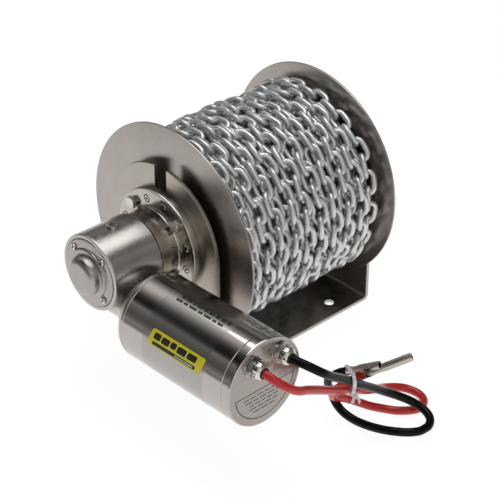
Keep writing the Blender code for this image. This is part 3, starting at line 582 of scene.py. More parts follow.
RED_ROUTE = [
    (-200.6, -242, 131.5), (-194.5, -257, 124.5), (-179, -262.5, 112), (-159, -260.5, 101.5),
    (-141, -258.5, 91.5), (-124, -256.5, 81.5), (-105.5, -253.5, 71.5), (-84.5, -249, 58.5),
    (-62.5, -243, 44), (-39.5, -238, 30.5), (-14, -231.5, 17), (8.5, -238.5, 8.5),
    (15, -253, 5.5), (9.5, -265, 5), (-4, -269.5, 5), (-23, -259.5, 6.5),
    (-31.5, -243, 5), (-39, -232.5, 6.5), (-48.5, -224.5, 12), (-61.5, -219, 20),
    (-82, -220, 35), (-85.5, -234.5, 56), (-73, -245, 66)]
BLACK_ROUTE = [
    (-164.6, -242, 131.5), (-159.5, -259, 129), (-150.5, -267, 122), (-132, -266.5, 107),
    (-108.5, -263, 90), (-85.5, -260, 71.5), (-63, -257.5, 54.5), (-43, -257.5, 39.5),
    (-28.5, -261.5, 29.5), (-17.5, -267.5, 21.5), (-12, -277, 16.5), (-12, -288.5, 13),
    (-18, -297.5, 11.5), (-31, -302.5, 11), (-47.5, -298, 13), (-58.5, -287, 13.5),
    (-64.5, -272.5, 11.5), (-67, -254, 8), (-67.5, -236.5, 6), (-68, -221, 8.5),
    (-68.5, -211.5, 15.5), (-70.5, -207.5, 27), (-81.5, -213, 50), (-81, -228, 67)]
RED_TUBE_END, BLACK_TUBE_END = (-36, -283, 93), (-64.5, -266.3, 88)
TUBE_R, TUBE_BORE = 4.3, 3.3
TIE_HEAD, TIE_TAIL_A, TIE_TAIL_B = (-98.7, -266.4, 67.0), (-103.1, -267.9, 66.0), (-98.7, -270.7, 65.5)
TIE_AT, TIE_ALONG, TIE_WIDTH, TIE_WALL = (-91, -254, 72), (0.80, -0.56, 0.10), 3.6, 1.3


def loft_tube(name, a, b, sections, mat, stands_for, steps=32):
    """A tube from a to b.  sections: (place 0..1, half width, half height)."""
    a, b = Vector(a), Vector(b)
    d = (b - a).normalized()
    q = d.to_track_quat("Z", "Y")
    length = (b - a).length
    bm = bmesh.new()
    rings = []
    for f, w, h in sections:
        if w == 0:
            rings.append([bm.verts.new(a + d * (f * length))])
            continue
        rings.append([bm.verts.new(a + q @ Vector((w * math.cos(2 * math.pi * i / steps),
                                                    h * math.sin(2 * math.pi * i / steps), f * length)))
                      for i in range(steps)])
    for p, r in zip(rings, rings[1:]):
        for i in range(steps):
            j = (i + 1) % steps
            if len(p) == 1:
                bm.faces.new((p[0], r[i], r[j]))
            elif len(r) == 1:
                bm.faces.new((p[i], r[0], p[j]))
            else:
                bm.faces.new((p[i], r[i], r[j], p[j]))
    return finish_mesh(name, bm, mat, "frame", stands_for, angle=40, bevel=0.15)


LINES = {}
for colour, route, end in (("red", RED_ROUTE, RED_TUBE_END), ("black", BLACK_ROUTE, BLACK_TUBE_END)):
    first, a, b = Vector(route[0]), Vector(route[-1]), Vector(end)
    d = (b - a).normalized()
    a = a + d * 8
    run = smooth_route([first + Vector((0, k, 0)) for k in (24, 12)] + list(route) + [a], 3)
    start = first + Vector((0, 6, 0))
    run = [start, first] + [p for p in run if p.y < first.y - 1.5 or p.z < 110]
    run = [Vector((p.x, max(p.y, -301.7), p.z)) for p in run]
    LINES[colour] = run
    curve = bpy.data.curves.new(colour + "_sheath", "CURVE")
    curve.dimensions = "3D"
    curve.bevel_depth = CABLE_R * MM
    curve.bevel_resolution = 8
    curve.use_fill_caps = True
    s = curve.splines.new("POLY")
    s.points.add(len(run) - 1)
    for p, q in zip(s.points, run):
        p.co = (*(q * MM), 1)
    s.use_smooth = True
    obj = bpy.data.objects.new(colour + "_sheath", curve)
    bpy.context.scene.collection.objects.link(obj)
    obj.data.materials.append(MAT[colour])
    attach(obj, "frame")
    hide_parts(colour + "_cable")
    LINES[colour + "_obj"] = obj
    LINES[colour + "_len"] = sum((q - p).length for p, q in zip(run, run[1:]))
    # crimped terminal tube: pinched barrel over the wire, then an open tube
    length = (b - a).length
    r = TUBE_R
    LINES[colour + "_tube"] = [a, b]
    secs = [(0.0, 0, 0), (0.0, r * 0.93, r * 0.93), (0.03, r, r), (0.10, r, r), (0.17, r * 1.05, r * 0.80),
            (0.25, r * 1.08, r * 0.72), (0.33, r * 1.04, r * 0.80), (0.40, r, r), (0.97, r, r), (1.0, r * 0.97, r * 0.97),
            (1.0, TUBE_BORE, TUBE_BORE), (0.52, TUBE_BORE, TUBE_BORE), (0.5, 0, 0)]
    loft_tube(colour + "_terminal", a + d * 0.5, b, secs, "tinned", (colour + "_connector",))


def hull(points):
    pts = sorted(set((round(u, 4), round(v, 4)) for u, v in points))
    halves = []
    for seq in (pts, pts[::-1]):
        chain = []
        for p in seq:
            while len(chain) > 1 and ((chain[-1][0] - chain[-2][0]) * (p[1] - chain[-2][1])
                                      - (chain[-1][1] - chain[-2][1]) * (p[0] - chain[-2][0])) <= 1e-6:
                chain.pop()
            chain.append(p)
        halves += chain[:-1]
    return halves


def make_tie():
    at = Vector(TIE_AT)
    turn = Vector(TIE_ALONG).normalized().to_track_quat("Z", "Y")
    across, upv, along_ = (turn @ Vector(v) for v in ((1, 0, 0), (0, 1, 0), (0, 0, 1)))
    centres = []
    for key in ("red", "red_tube", "black", "black_tube"):
        line = LINES[key]
        for a, b in zip(line, line[1:]):
            da, db = (a - at).dot(along_), (b - at).dot(along_)
            if da * db <= 0 and (a - at).length < 30:
                p = a.lerp(b, da / (da - db)) - at
                d = (b - a).normalized()
                centres.append((p.dot(across), p.dot(upv), abs(d.dot(along_)), math.atan2(d.dot(upv), d.dot(across))))
    loops = []
    for extra in (TIE_WALL + 0.5, 0.5):
        rim = []
        for u, v, slant, a in centres:
            slant = max(slant, 0.4)
            far = CABLE_R / slant + TIE_WIDTH / 2 * math.sqrt(1 / slant ** 2 - 1) + extra
            for c, s in arc(0, 0, 1, 0, 360, 48):
                c, s = far * c, (CABLE_R + extra) * s
                rim.append((u + c * math.cos(a) - s * math.sin(a), v + c * math.sin(a) + s * math.cos(a)))
        loops.append(hull(rim))
    bm = prism_bm(loops[0], [loops[1]], -TIE_WIDTH / 2, TIE_WIDTH / 2, "XY")
    m = Matrix.Translation(at) @ turn.to_matrix().to_4x4()
    bmesh.ops.transform(bm, matrix=m, verts=bm.verts)
    finish_mesh("tie_strap", bm, "nylon", "frame", ("cable_tie",), bevel=0.2)
    # ratchet head and the cut-off tails under the bundle
    sr, su, sf = Vector((0.722, -0.692, 0)), Vector((0.362, 0.378, 0.853)), Vector((-0.59, -0.616, 0.5226))
    for k, (at_, half, lean) in enumerate(((TIE_HEAD, (2.7, 2.6, 2.4), 14), (TIE_TAIL_A, (1.5, 4.4, 0.7), -16),
                                           (TIE_TAIL_B, (1.3, 3.9, 0.6), 22))):
        bm = bmesh.new()
        bmesh.ops.create_cube(bm, size=2.0)
        c, q = math.cos(math.radians(lean)), math.sin(math.radians(lean))
        for v in bm.verts:
            x, y, z = v.co.x * half[0], v.co.y * half[1], v.co.z * half[2]
            if k and v.co.y < 0:
                y += 1.1 * v.co.x
            v.co = Vector(at_) + sr * (x * c - y * q) + su * (x * q + y * c) + sf * z
        finish_mesh("tie_head" if k == 0 else "tie_tail_%d" % k, bm, "nylon", "frame", bevel=0.35)


make_tie()


# ---------------------------------------------------------------- frame
def make_frame():
    t, r, top = PLATE, BEND_R, AXIS_Z + FRAME_Y + 6
    section = [(-FRAME_X, top)] + arc(-FRAME_X + r, r, r, 180, 270, 12) + arc(FRAME_X - r, r, r, 270, 360, 12)
    section += [(FRAME_X, top), (FRAME_X - t, top)] + arc(FRAME_X - r, r, r - t, 360, 270, 8)
    section += arc(-FRAME_X + r, r, r - t, 270, 180, 8) + [(-FRAME_X + t, top)]
    base = prism_bm(section, [], -FRAME_Y - 6, FRAME_Y + 6, "XZ")
    tomb = [(-FRAME_Y, 14)] + arc(-FRAME_Y + 14, 0, 14, 180, 180, 1)[:0] + [(FRAME_Y, 14)]
    tomb = [(-FRAME_Y, -9), (FRAME_Y, -9)] + arc(0, AXIS_Z, FRAME_Y, 0, 180, 128)
    s = SLOT / 2
    slot = arc(0, AXIS_Z, s, 180, 360, 32) + [(s, AXIS_Z + 120), (-s, AXIS_Z + 120)]
    cuts = [("INTERSECT", prism_bm(tomb, [], -FRAME_X - 15, FRAME_X + 15, "YZ")),
            ("DIFFERENCE", prism_bm(slot, [], -FRAME_X - 20, FRAME_X + 20, "YZ"))]
    holes = [cyl_bm((sx * BASE_HOLE[0], sy * BASE_HOLE[1], 0), "Z", BASE_HOLE_R, -4, 8, 40)
             for sx in (-1, 1) for sy in (-1, 1)]
    cuts.append(("DIFFERENCE", merge(holes)))
    bm = combine(base, cuts)
    finish_mesh("frame_plate", bm, "sheet", "frame", ("base_frame",), angle=30, bevel=0.5, segments=3)


make_frame()


# ---------------------------------------------------------------- drum
def make_flanges():
    t = DRUM_T
    for name, x0, s in (("drum_flange_near", DRUM_X0, 1), ("drum_flange_far", DRUM_X1, -1)):
        e = 0.6
        prof = [(x0, 9), (x0, DRUM_R - e - 0.5), (x0 + s * 0.15, DRUM_R - 0.25), (x0 + s * e, DRUM_R),
                (x0 + s * (t - e), DRUM_R), (x0 + s * (t - 0.15), DRUM_R - 0.25), (x0 + s * t, DRUM_R - e - 0.5),
                (x0 + s * t, 9)]
        lathe(name.replace("drum_flange", "flange_disc"), prof, "disc", "drum", steps=256,
              stands_for=(name,), angle=50)


make_flanges()


def sweep_bm(path, radius, sides, uv_scale=1.0, closed=False, radii=None):
    """A tube mesh with a uv map: u is the length in metres, v goes round."""
    bm = bmesh.new()
    uv = bm.loops.layers.uv.new("UVMap")
    n = len(path)
    frames = []
    prev = None
    for i, p in enumerate(path):
        if closed:
            tan = (path[(i + 1) % n] - path[i - 1]).normalized()
        else:
            tan = (path[min(i + 1, n - 1)] - path[max(i - 1, 0)]).normalized()
        if prev is None:
            nrm = tan.orthogonal().normalized()
        else:
            nrm = (prev - tan * prev.dot(tan)).normalized()
        prev = nrm
        frames.append((p, nrm, tan.cross(nrm)))
    rings, run = [], [0.0]
    for i in range(1, n):
        run.append(run[-1] + (path[i] - path[i - 1]).length)
    for k, (p, u, v) in enumerate(frames):
        r = radii[k] if radii else radius
        rings.append([bm.verts.new(p + u * (r * math.cos(2 * math.pi * j / sides))
                                   + v * (r * math.sin(2 * math.pi * j / sides))) for j in range(sides)])
    last = n if closed else n - 1
    for i in range(last):
        a, b = rings[i], rings[(i + 1) % n]
        for j in range(sides):
            k = (j + 1) % sides
            f = bm.faces.new((a[j], a[k], b[k], b[j]))
            u0, u1 = run[i], run[i + 1] if i + 1 < n else run[i]
            for loop, (uu, vv) in zip(f.loops, ((u0, j), (u0, j + 1), (u1, j + 1), (u1, j))):
                loop[uv].uv = (uu * MM * uv_scale, vv / sides)
    if not closed:
        for ring, flip in ((rings[0], True), (rings[-1], False)):
            bm.faces.new(ring[::-1] if flip else ring)
    return bm


def keep_uv(name, bm, mat, body, stands_for=(), angle=60):
    for v in bm.verts:
        v.co *= MM
    mesh = bpy.data.meshes.new(name)
    bm.normal_update()
    bm.to_mesh(mesh)
    bm.free()
    mesh.shade_smooth()
    mesh.set_sharp_from_angle(angle=math.radians(angle))
    obj = bpy.data.objects.new(name, mesh)
    bpy.context.scene.collection.objects.link(obj)
    mesh.materials.append(MAT[mat])
    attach(obj, body)
    if stands_for:
        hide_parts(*stands_for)
    return obj


def drum_point(x, phi, r):
    """phi is measured from +Z towards -Y (the side the camera sees)."""
    return Vector((x, -r * math.sin(phi), AXIS_Z + r * math.cos(phi)))


IN_X0, IN_X1 = DRUM_X0 + DRUM_T, DRUM_X1 - DRUM_T


def make_rope():
    rope_r = 4.0
    x0, x1 = IN_X0 + rope_r + 0.5, IN_X1 - rope_r - 0.5
    turns = int((x1 - x0) / (2 * rope_r + 0.05))
    pts = []
    per = 72
    for i in range(turns * per + 1):
        f = i / (turns * per)
        x = x0 + (x1 - x0) * f
        phi = 2 * math.pi * i / per
        edge = min(x - x0, x1 - x)
        lift = 7.0 * math.exp(-(edge / 7.0) ** 2)
        r = 87.0 + lift + 0.5 * math.sin(3.1 * phi + x)
        pts.append(drum_point(x + 0.5 * math.sin(1.7 * phi), phi, r))
    bm = sweep_bm(pts, rope_r, 10)
    keep_uv("rope_turns", bm, "rope", "drum", ("rope_winding",))


make_rope()

LINK_D, LINK_P, LINK_W = 6.0, 18.5, 14.4   # wire, pitch, width between leg centres


def link_path(n_arc=7, n_leg=2):
    """Centre line of one link in its own plane: x along the chain, y across."""
    r = LINK_W / 2
    h = (LINK_P + LINK_D) / 2 - r
    pts = []
    for cx, a0 in ((h, -90), (-h, 90)):
        for k in range(n_arc + 1):
            a = math.radians(a0 + 180 * k / n_arc)
            pts.append((cx + r * math.cos(a), r * math.sin(a)))
        if n_leg > 1:
            x_from, x_to, y = (h, -h, r) if a0 == -90 else (-h, h, -r)
            for k in range(1, n_leg):
                pts.append((x_from + (x_to - x_from) * k / n_leg, y))
    return pts


LINK = link_path()


def add_link(bm, at, tangent, normal, sides=8, wire=LINK_D / 2, squash=1.0):
    """One welded link at a point, its plane holding tangent and normal."""
    t = tangent.normalized()
    n = (normal - t * normal.dot(t)).normalized()
    b = t.cross(n)
    rings = []
    m = len(LINK)
    for i, (x, y) in enumerate(LINK):
        x0, y0 = LINK[i - 1]
        x1, y1 = LINK[(i + 1) % m]
        d = Vector((x1 - x0, y1 - y0)).normalized()
        out = Vector((d.y, -d.x))
        w = wire
        if y > 0 and abs(x) < 2.5:
            w *= 1.10
        ring = []
        for j in range(sides):
            a = 2 * math.pi * j / sides
            px = x + out.x * w * math.cos(a)
            py = y + out.y * w * math.cos(a)
            pz = w * math.sin(a)
            ring.append(bm.verts.new(at + t * px + n * (py * squash) + b * pz))
        rings.append(ring)
    # a link that would cut into a drum flange lies against it
    xs = [v.co.x for ring in rings for v in ring]
    shift = max(0.0, IN_X0 + 0.5 - min(xs)) - max(0.0, max(xs) - IN_X1 + 0.5)
    if shift:
        for ring in rings:
            for v in ring:
                v.co.x += shift
    for i in range(m):
        p, q = rings[i], rings[(i + 1) % m]
        for j in range(sides):
            k = (j + 1) % sides
            bm.faces.new((p[j], p[k], q[k], q[j]))


def make_chain():
    bm = bmesh.new()
    half = 10.3
    turns = 10
    x0, x1 = IN_X0 + half + 1.5, IN_X1 - half - 4.5
    pitch = (x1 - x0) / (turns - 1)
    phi, k = 0.0, 0
    wob = [rng.uniform(-1, 1) for _ in range(64)]

    def place(phi):
        turn = phi / (2 * math.pi)
        x = x0 + pitch * min(turn, turns - 1 + 0.0)
        # the winding slackens a little underneath
        low = max(0.0, -math.cos(phi))
        front = max(0.0, math.sin(phi))
        w = math.sin(phi * 2.3 + turn * 1.7) * 0.9 + math.sin(phi * 5.1 + turn * 3.1) * 0.6
        r = 101.2 + 5.0 * low ** 2 + 1.0 * front + 0.7 * math.sin(phi * 3.7 + turn * 2.9)
        return drum_point(x + w, phi, r), r

    total = 2 * math.pi * turns
    while phi < total:
        p, r = place(phi)
        q, _ = place(phi + 0.03)
        tan = (q - p).normalized()
        radial = (p - Vector((p.x, 0, AXIS_Z))).normalized()
        side = tan.cross(radial).normalized()
        ang = math.radians((38 if k % 2 == 0 else -50) + rng.uniform(-19, 19))
        n = radial * math.cos(ang) + side * math.sin(ang)
        tan = (tan + radial * rng.uniform(-0.08, 0.08) + side * rng.uniform(-0.15, 0.15)).normalized()
        at = p + side * rng.uniform(-1.1, 1.1) + radial * rng.uniform(-0.4, 0.9)
        add_link(bm, at, tan, n)
        phi += (LINK_P - 0.1) / r
        k += 1
    # lower layer: the turns wound first, seen between the upper ones
    phi, k = 0.4, 0
    while phi < 2 * math.pi * (turns - 1):
        turn = phi / (2 * math.pi)
        r = 93.6 + 4.5 * max(0.0, -math.cos(phi)) ** 2 + 0.8 * math.sin(phi * 2.7 + turn)
        x = x0 + pitch * (turn + 0.5) + 1.2 * math.sin(phi * 1.9 + turn * 2.3)
        p, q = drum_point(x, phi, r), drum_point(x, phi + 0.03, r)
        tan = (q - p).normalized()
        radial = (p - Vector((p.x, 0, AXIS_Z))).normalized()
        side = tan.cross(radial).normalized()
        ang = math.radians((62 if k % 2 == 0 else -28) + rng.uniform(-14, 14))
        tan = (tan + side * rng.uniform(-0.14, 0.14)).normalized()
        add_link(bm, p + side * rng.uniform(-0.8, 0.8), tan, radial * math.cos(ang) + side * math.sin(ang), sides=6)
        phi += (LINK_P + 0.3) / r
        k += 1
    # slack end: a few links lying over the last turn beside the near flange
    phi, k = math.radians(62), 0
    while phi < math.radians(178):
        x = IN_X0 + 9.0 + 3.5 * math.sin(phi * 4.0)
        r = 113.5 + 1.8 * math.sin(phi * 3.0)
        p = drum_point(x, phi, min(r, 115.5))
        q = drum_point(IN_X0 + 9.0 + 3.5 * math.sin((phi + 0.03) * 4.0), phi + 0.03, min(r, 115.5))
        tan = (q - p).normalized()
        radial = (p - Vector((p.x, 0, AXIS_Z))).normalized()
        side = tan.cross(radial).normalized()
        ang = math.radians((70 if k % 2 == 0 else -15) + rng.uniform(-16, 16))
        n = radial * math.cos(ang) + side * math.sin(ang)
        add_link(bm, p, tan, n)
        phi += LINK_P / r
        k += 1
    keep_uv("chain_turns", bm, "zinc", "drum", ("chain_winding",), angle=80)


make_chain()


# ---------------------------------------------------------------- gearbox
def holes_ring():
    for i in range(12):
        a = math.radians(15 + 30 * i)
        yield i, HOLES_R * math.sin(a), AXIS_Z + HOLES_R * math.cos(a)


def make_output_housing():
    f = FLANGE_X0
    prof = [(HOUSE_X1 + 0.15, 12), (HOUSE_X1 + 0.15, NECK_R - 3.0), (HOUSE_X1 + 2.2, NECK_R - 3.0),
            (HOUSE_X1 + 2.2, NECK_R - 0.9), (HOUSE_X1 + 3.1, NECK_R), (HOUSE_X1 + 3.8, NECK_R), (f - 3.8, NECK_R),
            (f - 3.0, NECK_R), (f - 2.2, NECK_R + 0.2), (f - 0.9, NECK_R + 1.0), (f, NECK_R + 2.4),
            (f, NECK_R + 2.7), (f + 0.35, NECK_R + 3.0), (f + 0.35, NECK_R + 3.6), (f, NECK_R + 3.9),
            (f, FLANGE_R - 1.2), (f + 0.35, FLANGE_R - 0.35), (f + 1.2, FLANGE_R),
            (-FRAME_X - GAP, FLANGE_R), (-FRAME_X - GAP, 12)]
    base = lathe_bm(prof, steps=160)
    sinks = []
    for i, y, z in holes_ring():
        if i % 3 != 1:
            sinks.append(cyl_bm((f, y, z), "X", 4.7, -3, 4.6, 28))
            sinks.append(cyl_bm((f, y, z), "X", 2.2, 3, 7.5, 20))
    bm = combine(base, [("DIFFERENCE", merge(sinks))])
    finish_mesh("output_casting", bm, "neck", "frame", ("output_housing",), angle=28, bevel=0.3)


make_output_housing()
lathe("seam_gasket", [(HOUSE_X1 + 0.2, NECK_R - 3.4), (HOUSE_X1 + 0.2, NECK_R - 0.6), (HOUSE_X1 + 2.1, NECK_R - 0.6),
                      (HOUSE_X1 + 2.1, NECK_R - 3.4)], "rubber", "frame", steps=128)


def hex_head(name, x, y, z, r, h, mat, stands_for, dish=True, spin=0.0):
    """Hexagon head along -X with a chamfered crown, its washer face at x."""
    steps = 72

    def shape(th, a, q):
        if q < r * 0.9:
            return q
        k = math.radians(60)
        flat = r * math.cos(k / 2)
        local = ((th + spin) % k) - k / 2
        return min(q, flat / math.cos(local))

    c = r * 0.87
    prof = [(x, 0), (x, r), (x - h * 0.72, r), (x - h * 0.90, (r + c) / 2 + 0.25), (x - h, c - 0.3),
            (x - h, c - 1.2), (x - h + (0.25 if dish else 0), c - 1.8), (x - h + (0.25 if dish else 0), 0)]
    lathe(name, prof, mat, "frame", at=(0, y, z), steps=steps, stands_for=stands_for, angle=25, shape=shape,
          bevel=0.12)


def socket_screw(name, x, y, z, r, h, mat, stands_for, slotted=False):
    """Round-headed screw facing -X with a recess."""
    prof = [(x, 0), (x, r), (x - h * 0.55, r), (x - h * 0.85, r * 0.88), (x - h, r * 0.66), (x - h, r * 0.46),
            (x - h + 1.1, r * 0.42), (x - h + 1.2, 0)]

    def shape(th, a, q):
        if q > r * 0.5:
            return q
        k = math.radians(60)
        local = (th % k) - k / 2
        return q * math.cos(k / 2) / math.cos(local)

    obj = lathe(name, prof, mat, "frame", at=(0, y, z), steps=48, stands_for=stands_for, angle=28, shape=shape)
    # painted shade: the faces inside the recess get the near-black material
    obj.data.materials.append(MAT["groove"])
    for p in obj.data.polygons:
        c = p.center
        if c.x > (x - h + 0.3) * MM and math.hypot(c.y - y * MM, c.z - z * MM) < r * 0.48 * MM:
            p.material_index = 1


bolt = screw = 0
for i, y, z in holes_ring():
    if i % 3 == 1:
        bolt += 1
        hex_head("flange_hex_%d" % bolt, FLANGE_X0 - 0.15, y, z, 7.2, 5.4, "bright",
                 ("flange_bolt_%d" % bolt,), spin=0.4 * bolt)
    else:
        screw += 1
        socket_screw("flange_socket_%d" % screw, FLANGE_X0 + 3.1, y, z, 4.3, 3.4, "bright",
                     ("flange_screw_%d" % screw,))


def make_gear_housing():
    x0, x1, r = HOUSE_X0, HOUSE_X1 - 0.15, HOUSE_R
    body = lathe_bm([(x0, 0), (x0, r - 1.4), (x0 + 0.4, r - 0.4), (x0 + 1.4, r), (x0 + 2.4, r),
                     (x1 - 1.6, r), (x1 - 0.8, r), (x1, r - 0.8), (x1, 0)],
                    steps=160)
    at = (MOTOR_X, 0, MOTOR_Z)
    tunnel = [(MOTOR_Y0 + 0.3, 0), (MOTOR_Y0 + 0.3, 39.0), (MOTOR_Y0 + 1.5, 39.8), (MOTOR_Y0 + 4, 39.6),
              (MOTOR_Y0 + 7, 37.6), (MOTOR_Y0 + 10, 34.2), (MOTOR_Y0 + 14, 30.0), (MOTOR_Y0 + 19, 26.6),
              (MOTOR_Y0 + 25, 24.0), (MOTOR_Y0 + 34, 21.8), (40, 21.5), (42, 20.6), (43, 18.5), (43, 0)]
    bm = combine(body, [("UNION", lathe_bm(tunnel, "Y", at, 128)),
                        ("DIFFERENCE", cyl_bm((MOTOR_X, 0, AXIS_Z), "Z", 8.2, HOUSE_R - 0.7, HOUSE_R + 9, 48)),
                        ("DIFFERENCE", cyl_bm((x0, 0, AXIS_Z), "X", 38.0, -5, 7.3, 128)),
                        ("DIFFERENCE", cyl_bm((x0, 0, AXIS_Z), "X", 28.4, 5, 50, 96))])
    bm.normal_update()
    finish_mesh("gear_casting", bm, "housing", "frame", ("gear_housing",), angle=30, bevel=0.35,
                segments=3)


make_gear_housing()


def make_cover():
    x = HOUSE_X0 - 1.0
    prof = [(x - 13.8, 0), (x - 13.7, 5.0)]
    prof += arc(x - 6.2, 13.6, 7.6, 178, 100, 8)
    prof += [(x - 3.4, 21.6), (x - 2.6, 22.6), (x - 2.5, 24.6), (x - 2.2, 26.4), (x - 1.4, 27.2), (x - 0.3, 27.6),
             (x, 28.2), (x, 36.3), (x + 0.3, 37.1), (x + 1.2, 37.5), (x + 6.0, 37.5), (x + 6.0, 18.0), (x - 2.0, 18.0),
             (x - 2.0, 0)]
    base = lathe_bm(prof, steps=160)
    sinks = [cyl_bm((x, 31.6 * sy * math.sqrt(0.5), AXIS_Z + 31.6 * sz * math.sqrt(0.5)), "X", 4.1, -3, 0.7, 32)
             for sy in (-1, 1) for sz in (-1, 1)]
    bm = combine(base, [("DIFFERENCE", merge(sinks))])
    finish_mesh("end_cover", bm, "cover", "frame", ("housing_cover",), angle=24, bevel=0.25)
    k = 0
    for sy in (-1, 1):
        for sz in (-1, 1):
            k += 1
            socket_screw("cover_socket_%d" % k, x + 0.6, 31.6 * sy * math.sqrt(0.5), AXIS_Z + 31.6 * sz * math.sqrt(0.5),
                         3.5, 2.9, "bright", ("cover_screw_%d" % k,))


make_cover()

R = HOUSE_R
lathe("oil_plug_socket", [(R - 1.2, 0), (R - 1.2, 6.4), (R + 1.4, 6.4), (R + 2.1, 5.7), (R + 2.2, 3.6), (R - 0.6, 3.3),
                          (R - 0.6, 0)], "bright", "frame", axis="Z",
      at=(MOTOR_X, 0, AXIS_Z), steps=64, stands_for=("oil_plug",), angle=28,
      shape=lambda th, a, q: q if q > 4 else q * math.cos(math.radians(30)) / math.cos((th % math.radians(60)) - math.radians(30)))
# the Z lathe runs from the axis height
bpy.data.objects["oil_plug_socket"].data.transform(Matrix.Translation((0, 0, AXIS_Z * MM)))


# ---------------------------------------------------------------- motor
def make_motor():
    at = (MOTOR_X, 0, MOTOR_Z)
    r = MOTOR_R
    rear = [(MOTOR_Y1 - 0.12, 20), (MOTOR_Y1 - 0.12, r - 0.8), (MOTOR_Y1 + 0.6, r)]
    rear += arc(MOTOR_Y0 - 8, r - 8, 8, 90, 0, 12)
    rear += [(MOTOR_Y0, 20)]
    lathe("rear_cap_shell", rear, "cap", "frame", "Y", at, 192, ("motor_rear_cap",), bevel=0.1)
    lathe("can_tube", [(MOTOR_Y2 + 0.12, r - 3), (MOTOR_Y2 + 0.12, r - 0.7), (MOTOR_Y2 + 0.8, r),
                       (MOTOR_Y1 - 0.8, r), (MOTOR_Y1 - 0.42, r - 0.35), (MOTOR_Y1 - 0.42, r - 3)], "can", "frame",
          "Y", at, 256, ("motor_can",))
    y = MOTOR_Y3
    face = [(MOTOR_Y2 - 0.15, 20), (MOTOR_Y2 - 0.15, r - 0.7), (MOTOR_Y2 - 0.8, r), (y + 2.3, r), (y + 1.5, r), (y + 0.45, r - 0.4),
            (y, r - 1.5), (y, 0), (y + 3, 0), (y + 3, 20)]
    base = lathe_bm(face, "Y", at, 192)
    # engraved outline on the face: a flat-topped segment
    ch, zb, rr = MOTOR_Z - 4.9, MOTOR_Z - 34.6, 39.5
    outer = seg_outline(rr, ch, zb, 0.0)
    inner = seg_outline(rr, ch, zb, 0.95)
    groove = prism_bm(outer, [inner], y - 2, y + 0.35, "XZ")
    holes = merge([cyl_bm((MOTOR_X + s * GLAND_DX, y, GLAND_Z), "Y", 6.5, -2, 14, 40) for s in (-1, 1)])
    bm = combine(base, [("DIFFERENCE", groove), ("DIFFERENCE", holes)])
    obj = finish_mesh("front_cap_face", bm, "face", "frame", ("motor_front_cap",), angle=28)
    # painted shade: the engraved outline's floor and walls get the near-black material; the rim keeps the cap finish
    obj.data.materials.append(MAT["groove"])
    obj.data.materials.append(MAT["cap"])
    for p in obj.data.polygons:
        c = p.center
        if (y + 0.05) * MM < c.y < (y + 0.5) * MM and math.hypot(c.x - MOTOR_X * MM, c.z - MOTOR_Z * MM) < 44 * MM:
            p.material_index = 1
        elif math.hypot(c.x - MOTOR_X * MM, c.z - MOTOR_Z * MM) > 46.5 * MM:
            p.material_index = 2


def seg_outline(r, chord, bottom, inset):
    """Outline of the lower segment of a disc about the motor's axis."""
    r -= inset
    top = chord - inset
    cx, cz = MOTOR_X, MOTOR_Z
    a = math.degrees(math.asin((top - cz) / r))
    pts = []
    n = 64
    for i in range(n + 1):
        th = math.radians(180 - a + (180 + 2 * a) * i / n)
        pts.append((cx + r * math.cos(th), cz + r * math.sin(th)))
    return pts


make_motor()


def curved_panel(name, y0, y1, a0, a1, mat, lift=0.12, thick=0.12, corner=0.0, skew=0.0, radius=MOTOR_R):
    """A thin panel on the motor tube. Angles in degrees from -X upwards; skew shifts y with angle."""
    bm = bmesh.new()
    na, ny = max(4, int(abs(a1 - a0) / 1.5)), 10
    grid = {}
    for layer, rr in ((0, radius + lift), (1, radius + lift - thick)):
        for i in range(na + 1):
            for j in range(ny + 1):
                fa, fy = i / na, j / ny
                yy0, yy1 = y0, y1
                if corner:
                    da = abs(math.radians(a1 - a0)) * radius * min(fa, 1 - fa)
                    if da < corner:
                        c = corner - math.sqrt(max(0.0, corner ** 2 - (corner - da) ** 2))
                        sgn = 1 if y1 > y0 else -1
                        yy0, yy1 = y0 + sgn * c, y1 - sgn * c
                a = math.radians(a0 + (a1 - a0) * fa)
                yy = yy0 + (yy1 - yy0) * fy + skew * (fa - 0.5)
                grid[layer, i, j] = bm.verts.new((MOTOR_X - rr * math.cos(a), yy, MOTOR_Z + rr * math.sin(a)))
    for layer in (0, 1):
        for i in range(na):
            for j in range(ny):
                q = [grid[layer, i, j], grid[layer, i + 1, j], grid[layer, i + 1, j + 1], grid[layer, i, j + 1]]
                bm.faces.new(q if layer == 0 else q[::-1])
    for i in range(na):
        for j in (0, ny):
            bm.faces.new((grid[0, i, j], grid[0, i + 1, j], grid[1, i + 1, j], grid[1, i, j]))
    for j in range(ny):
        for i in (0, na):
            bm.faces.new((grid[0, i, j], grid[0, i, j + 1], grid[1, i, j + 1], grid[1, i, j]))
    return finish_mesh(name, bm, mat, "frame", angle=40)


curved_panel("label_plate", -107.8, -183.8, 11.5, 32.7, "label_yellow", 0.18, 0.14, corner=2.0,
             skew=-4.0)
